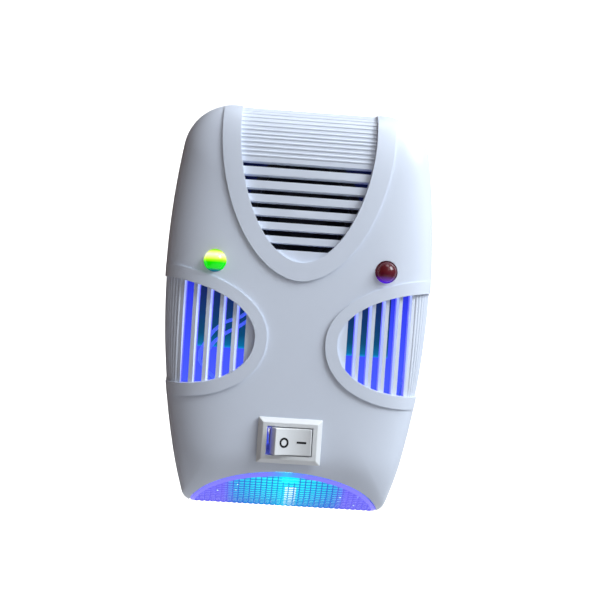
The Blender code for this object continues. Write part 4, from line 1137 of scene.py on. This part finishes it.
class REPELLER_OT_rocker(bpy.types.Operator):
    """Build the concave rocker with its off and on marks"""
    bl_idname = "repeller.rocker"
    bl_label = "Switch rocker"

    def execute(self, context):
        pivot = Vector(joint_named("rocker_pivot")["pos_m"])
        turn = Matrix.Translation(pivot) @ Matrix.Rotation(ROCKER_TILT, 4, "Z")
        dish = []
        for i in range(33):
            angle = DISH_SWEEP * (i / 16 - 1)
            dish.append((DISH_HALF * math.sin(angle) / math.sin(DISH_SWEEP), self.dish_height(angle)))
        outline = [(x * MM, -height * MM) for x, height in dish + ROCKER_UNDERSIDE]
        ends = (-ROCKER_HALF, ROCKER_HALF)
        rocker = wrapped("rocker_cap", [[(x, y, z) for x, y in outline] for z in ends])
        carve(rocker, rod("trunnion", 1.0 * MM, (0, 0, -5.3 * MM), (0, 0, 5.3 * MM)),
              operation="UNION")
        carve(rocker, rod("bore", 1.6 * MM, (0, 4.5 * MM, 0), (0, -2.0 * MM, 0)))
        round_edges(rocker, 0.4 * MM, 3, 25)
        rocker.matrix_world = turn
        complete(rocker, finish_named("switch white"), "rocker", ("switch_rocker",))
        self.marks(turn)
        self.spring()
        return {"FINISHED"}

    def spring(self):
        """The coil spring: a smoothed copy of the CAD spring that rides with the rocker."""
        axis = Vector(joint_named("plunger_slide")["axis"])
        spring = refined("rocker_spring_coil", "rocker_spring")
        complete(spring, finish_named("zinc steel"), "rocker", ("rocker_spring",))
        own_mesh(spring)

    def dish_height(self, angle):
        """Height of the concave face above the pivot, in millimetres."""
        return DISH_LOW + DISH_RISE * (1 - math.cos(angle)) / (1 - math.cos(DISH_SWEEP))

    def marks(self, turn):
        """A ring for off and a bar for on, inlaid along the concave face."""
        def on_face(x, z):
            angle = math.asin(max(-1, min(1, x / DISH_HALF * math.sin(DISH_SWEEP))))
            return Vector((x, -self.dish_height(angle), z)) * MM

        ring = []
        for i in range(41):
            angle = math.tau * i / 40
            ring.append(on_face(-2.9 + 1.25 * math.cos(angle), -0.3 + 1.35 * math.sin(angle)))
        bar = [on_face(1.4 + 3.0 * i / 8, -0.1) for i in range(9)]
        for name, line in (("off_ring", ring), ("on_bar", bar)):
            mark = strand(name, line, STROKE / 2)
            weld(mark, 0.005 * MM)
            for vertex in mark.data.vertices:
                base = on_face(vertex.co.x / MM, vertex.co.z / MM).y
                vertex.co.y = base - MARK_RISE + (vertex.co.y - base) * MARK_FLATTENING
            smooth(mark, 50)
            mark.matrix_world = turn
            complete(mark, finish_named("printed black"), "rocker",
                     ("switch_rocker",))


class REPELLER_OT_plug(bpy.types.Operator):
    """Build the two plug blades and all the screws"""
    bl_idname = "repeller.plug"
    bl_label = "Plug blades and screws"

    def execute(self, context):
        for side in ("left", "right"):
            node = f"plug_blade_{side}"
            blade = refined(f"blade_{side}", node, 0.12 * MM)
            complete(blade, finish_named("nickel plate"), stands_for=(node,))
        for node in sorted(frame["nodes"]):
            if "screw" in node:
                screw = refined(f"{node}_body", node, 0.08 * MM)
                complete(screw, finish_named("zinc steel"), stands_for=(node,))
        return {"FINISHED"}


INNER_FINISHES = {
    "circuit_board": "board green painted spill", "lamp_board": "board green painted spill", "film_capacitor": "dipped red",
    "smoothing_capacitor": "black sleeve", "timing_capacitor": "black sleeve",
    "coil_core": "grey ferrite", "coil_winding": "wound copper", "controller_chip": "black epoxy",
    "driver_transistor": "black epoxy", "bridge_rectifier": "black epoxy",
    "resistor_a": "lacquered tan", "resistor_b": "lacquered tan", "resistor_c": "lacquered tan",
    # The piezo disc, brass in itself, takes the dark cone finish as painted shade: it sits in the dark
    # behind the top slots.
    "speaker_frame": "speaker black", "speaker_cone": "spun cone", "piezo_disc": "spun cone",
    "contact_lever": "stamped brass", "switch_terminal_line": "stamped brass",
    "switch_terminal_load": "stamped brass", "rocker_plunger": "nickel plate",
    "blade_clamp": "switch white",
    "lamp_board_bracket": "switch white",
}


class REPELLER_OT_inner_parts(bpy.types.Operator):
    """Give the parts inside the housing their finishes"""
    bl_idname = "repeller.inner_parts"
    bl_label = "Inner parts"

    def execute(self, context):
        finishes = dict(INNER_FINISHES)
        for node in frame["nodes"]:
            if "wire" in node:
                finishes[node] = "white wire painted blue glow"
            elif node.endswith(("anode", "cathode")):
                finishes[node] = "nickel plate"
        for node, name in finishes.items():
            mesh = frame["nodes"][node].data
            mesh.materials.clear()
            mesh.materials.append(finish_named(name))
        blue = finish("lit night lamp", (0.1, 0.5, 0.9), 0.15)
        glow(blue, (0.1, 0.6, 1.0), 6.0)
        mesh = frame["nodes"]["night_light_led"].data
        mesh.materials.clear()
        mesh.materials.append(blue)
        return {"FINISHED"}


FLOOR_DROP = 400 * MM
FLOOR_DEPTH = 0.8
FLOOR_BEND = 0.35


class REPELLER_OT_studio(bpy.types.Operator):
    """Set up the pale floor, the soft lights and the camera"""
    bl_idname = "repeller.studio"
    bl_label = "Studio"

    def execute(self, context):
        self.floor()
        self.lights()
        self.camera()
        return {"FINISHED"}

    def floor(self):
        """A pale sweep: a floor that curves up into a backdrop."""
        low = housing().bottom - FLOOR_DROP
        rings = []
        for side in (-0.45, 0.8):
            line = [(side, -FLOOR_DEPTH, low), (side, FLOOR_DEPTH, low)]
            for i in range(1, 13):
                angle = math.pi / 2 * i / 12
                line.append((side, FLOOR_DEPTH + FLOOR_BEND * math.sin(angle),
                             low + FLOOR_BEND * (1 - math.cos(angle))))
            line.append((side, FLOOR_DEPTH + FLOOR_BEND, 1.0))
            rings.append(line)
        deselect()
        bpy.ops.mesh.primitive_grid_add(x_subdivisions=1, y_subdivisions=len(rings[0]) - 1, size=1.0)
        sweep = bpy.context.object
        sweep.name = "studio_floor"
        for vertex in sweep.data.vertices:
            column = round(vertex.co.x + 0.5)
            row = round((vertex.co.y + 0.5) * (len(rings[0]) - 1))
            vertex.co = rings[column][row]
        smooth(sweep, 60)
        material = finish("pale floor", (0.93, 0.935, 0.94), 0.8, shift=0.01, scale=4)
        stops = ((0.0, (0, 0, 0)), (0.35, (0.02, 0.02, 0.02)), (0.85, (1, 1, 1)), (1.0, (1, 1, 1)))
        glow_along(material, "Y", 0.0, FLOOR_DEPTH + FLOOR_BEND, stops, 1.05)
        sweep.data.materials.append(material)

    def lights(self):
        """A key from the upper right and a weak fill; the backdrop glows by itself."""
        scene = bpy.context.scene
        scene.view_settings.view_transform = "Standard"
        self.surround()
        self.panel("key_light", (0.5, -0.28, 0.45), (0.02, -0.03, 0.0), 0.34, 5.7,
                   (0.88, 0.94, 1.0))
        self.panel("front_light", (0.35, -0.8, 0.5), (0, 0, 0), 0.4, 0.7, (0.9, 0.95, 1.0))
        self.panel("top_light", (0.1, -0.2, 0.6), (0, 0, 0), 0.25, 0.9, (0.92, 0.96, 1.0))
        for x in (-22 * MM, 22 * MM):
            deselect()
            bpy.ops.object.light_add(type="POINT", location=(x, -34 * MM, -33 * MM))
            spill = bpy.context.object
            spill.name = "inner_spill"
            spill.data.color = colours().inner_glow
            spill.data.energy = 0.005
            spill.data.shadow_soft_size = 3 * MM

    def surround(self):
        """A plain room, bright towards the key and dim and brownish on the other side."""
        world = bpy.data.worlds.new("studio")
        bpy.context.scene.world = world
        world.use_nodes = True
        tree = world.node_tree
        background = tree.nodes["Background"]
        place = add_node(tree, "TexCoord")
        toward = add_node(tree, "VectorMath")
        toward.operation = "DOT_PRODUCT"
        toward.inputs[1].default_value = Vector((0.85, -0.25, 0.45)).normalized()
        ramp = add_node(tree, "ValToRGB")
        reach = add_node(tree, "MapRange", {"From Min": -1.0})
        dim, bright = ramp.color_ramp.elements
        dim.position = 0.25
        dim.color = (0.2, 0.12, 0.085, 1)
        bright.position = 0.85
        bright.color = (0.62, 0.66, 0.72, 1)
        link(tree, (place, "Generated", toward, 0), (toward, "Value", reach, "Value"),
             (reach, "Result", ramp, "Fac"), (ramp, "Color", background, "Color"))
        background.inputs["Strength"].default_value = 0.4

    def panel(self, name, place, aim, size, power, colour):
        deselect()
        bpy.ops.object.light_add(type="AREA", location=place)
        light = bpy.context.object
        light.name = name
        light.data.size = size
        light.data.energy = power
        light.data.color = colour
        light.rotation_mode = "QUATERNION"
        light.rotation_quaternion = (Vector(place) - Vector(aim)).to_track_quat("Z", "Y")

    def camera(self):
        """The camera looks at the front from hand-held distance, slightly rolled."""
        distance = 430 * MM
        azimuth = math.radians(-2.6)
        roll = math.radians(3.9)
        target = Vector((0, -20 * MM, 0))
        back = Vector((math.sin(azimuth), -math.cos(azimuth), 0))
        right = Vector((math.cos(azimuth), math.sin(azimuth), 0))
        up = Vector((0, 0, 1))
        rolled_up = up * math.cos(roll) - right * math.sin(roll)
        rolled_right = right * math.cos(roll) + up * math.sin(roll)
        place = target + back * distance + rolled_right * 1.8 * MM + rolled_up * 3.4 * MM
        deselect()
        bpy.ops.object.camera_add(location=place)
        camera = bpy.context.object
        camera.data.lens = 74.0
        camera.data.sensor_width = 36.0
        camera.rotation_mode = "QUATERNION"
        axes = Matrix((rolled_right, rolled_up, back)).transposed()
        camera.rotation_quaternion = axes.to_quaternion()
        camera.data.clip_start = 0.01
        bpy.context.scene.camera = camera


OPERATORS = (REPELLER_OT_studio, REPELLER_OT_cover_shell, REPELLER_OT_bands, REPELLER_OT_top_grille,
             REPELLER_OT_side_grilles, REPELLER_OT_rear_cover, REPELLER_OT_night_light,
             REPELLER_OT_lamps, REPELLER_OT_switch_housing, REPELLER_OT_rocker, REPELLER_OT_plug,
             REPELLER_OT_inner_parts)


class REPELLER_PT_panel(bpy.types.Panel):
    """Buttons for each piece of the pest repeller"""
    bl_label = "Pest Repeller"
    bl_idname = "REPELLER_PT_panel"
    bl_space_type = "VIEW_3D"
    bl_region_type = "UI"
    bl_category = "Repeller"

    def draw(self, context):
        for operator in OPERATORS:
            self.layout.operator(operator.bl_idname)


CLASSES = (HousingSizes, DetailSizes, FinishColours, *OPERATORS, REPELLER_PT_panel)


def register():
    for item in CLASSES:
        bpy.utils.register_class(item)
    scene = bpy.types.Scene
    scene.repeller_housing = bpy.props.PointerProperty(type=HousingSizes)
    scene.repeller_details = bpy.props.PointerProperty(type=DetailSizes)
    scene.repeller_colours = bpy.props.PointerProperty(type=FinishColours)


def unregister():
    scene = bpy.types.Scene
    del scene.repeller_housing
    del scene.repeller_details
    del scene.repeller_colours
    for item in reversed(CLASSES):
        bpy.utils.unregister_class(item)


def main():
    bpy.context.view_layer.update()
    register()
    for operator in OPERATORS:
        family, action = operator.bl_idname.split(".")
        getattr(getattr(bpy.ops, family), action)()


if __name__ == "__main__":
    main()
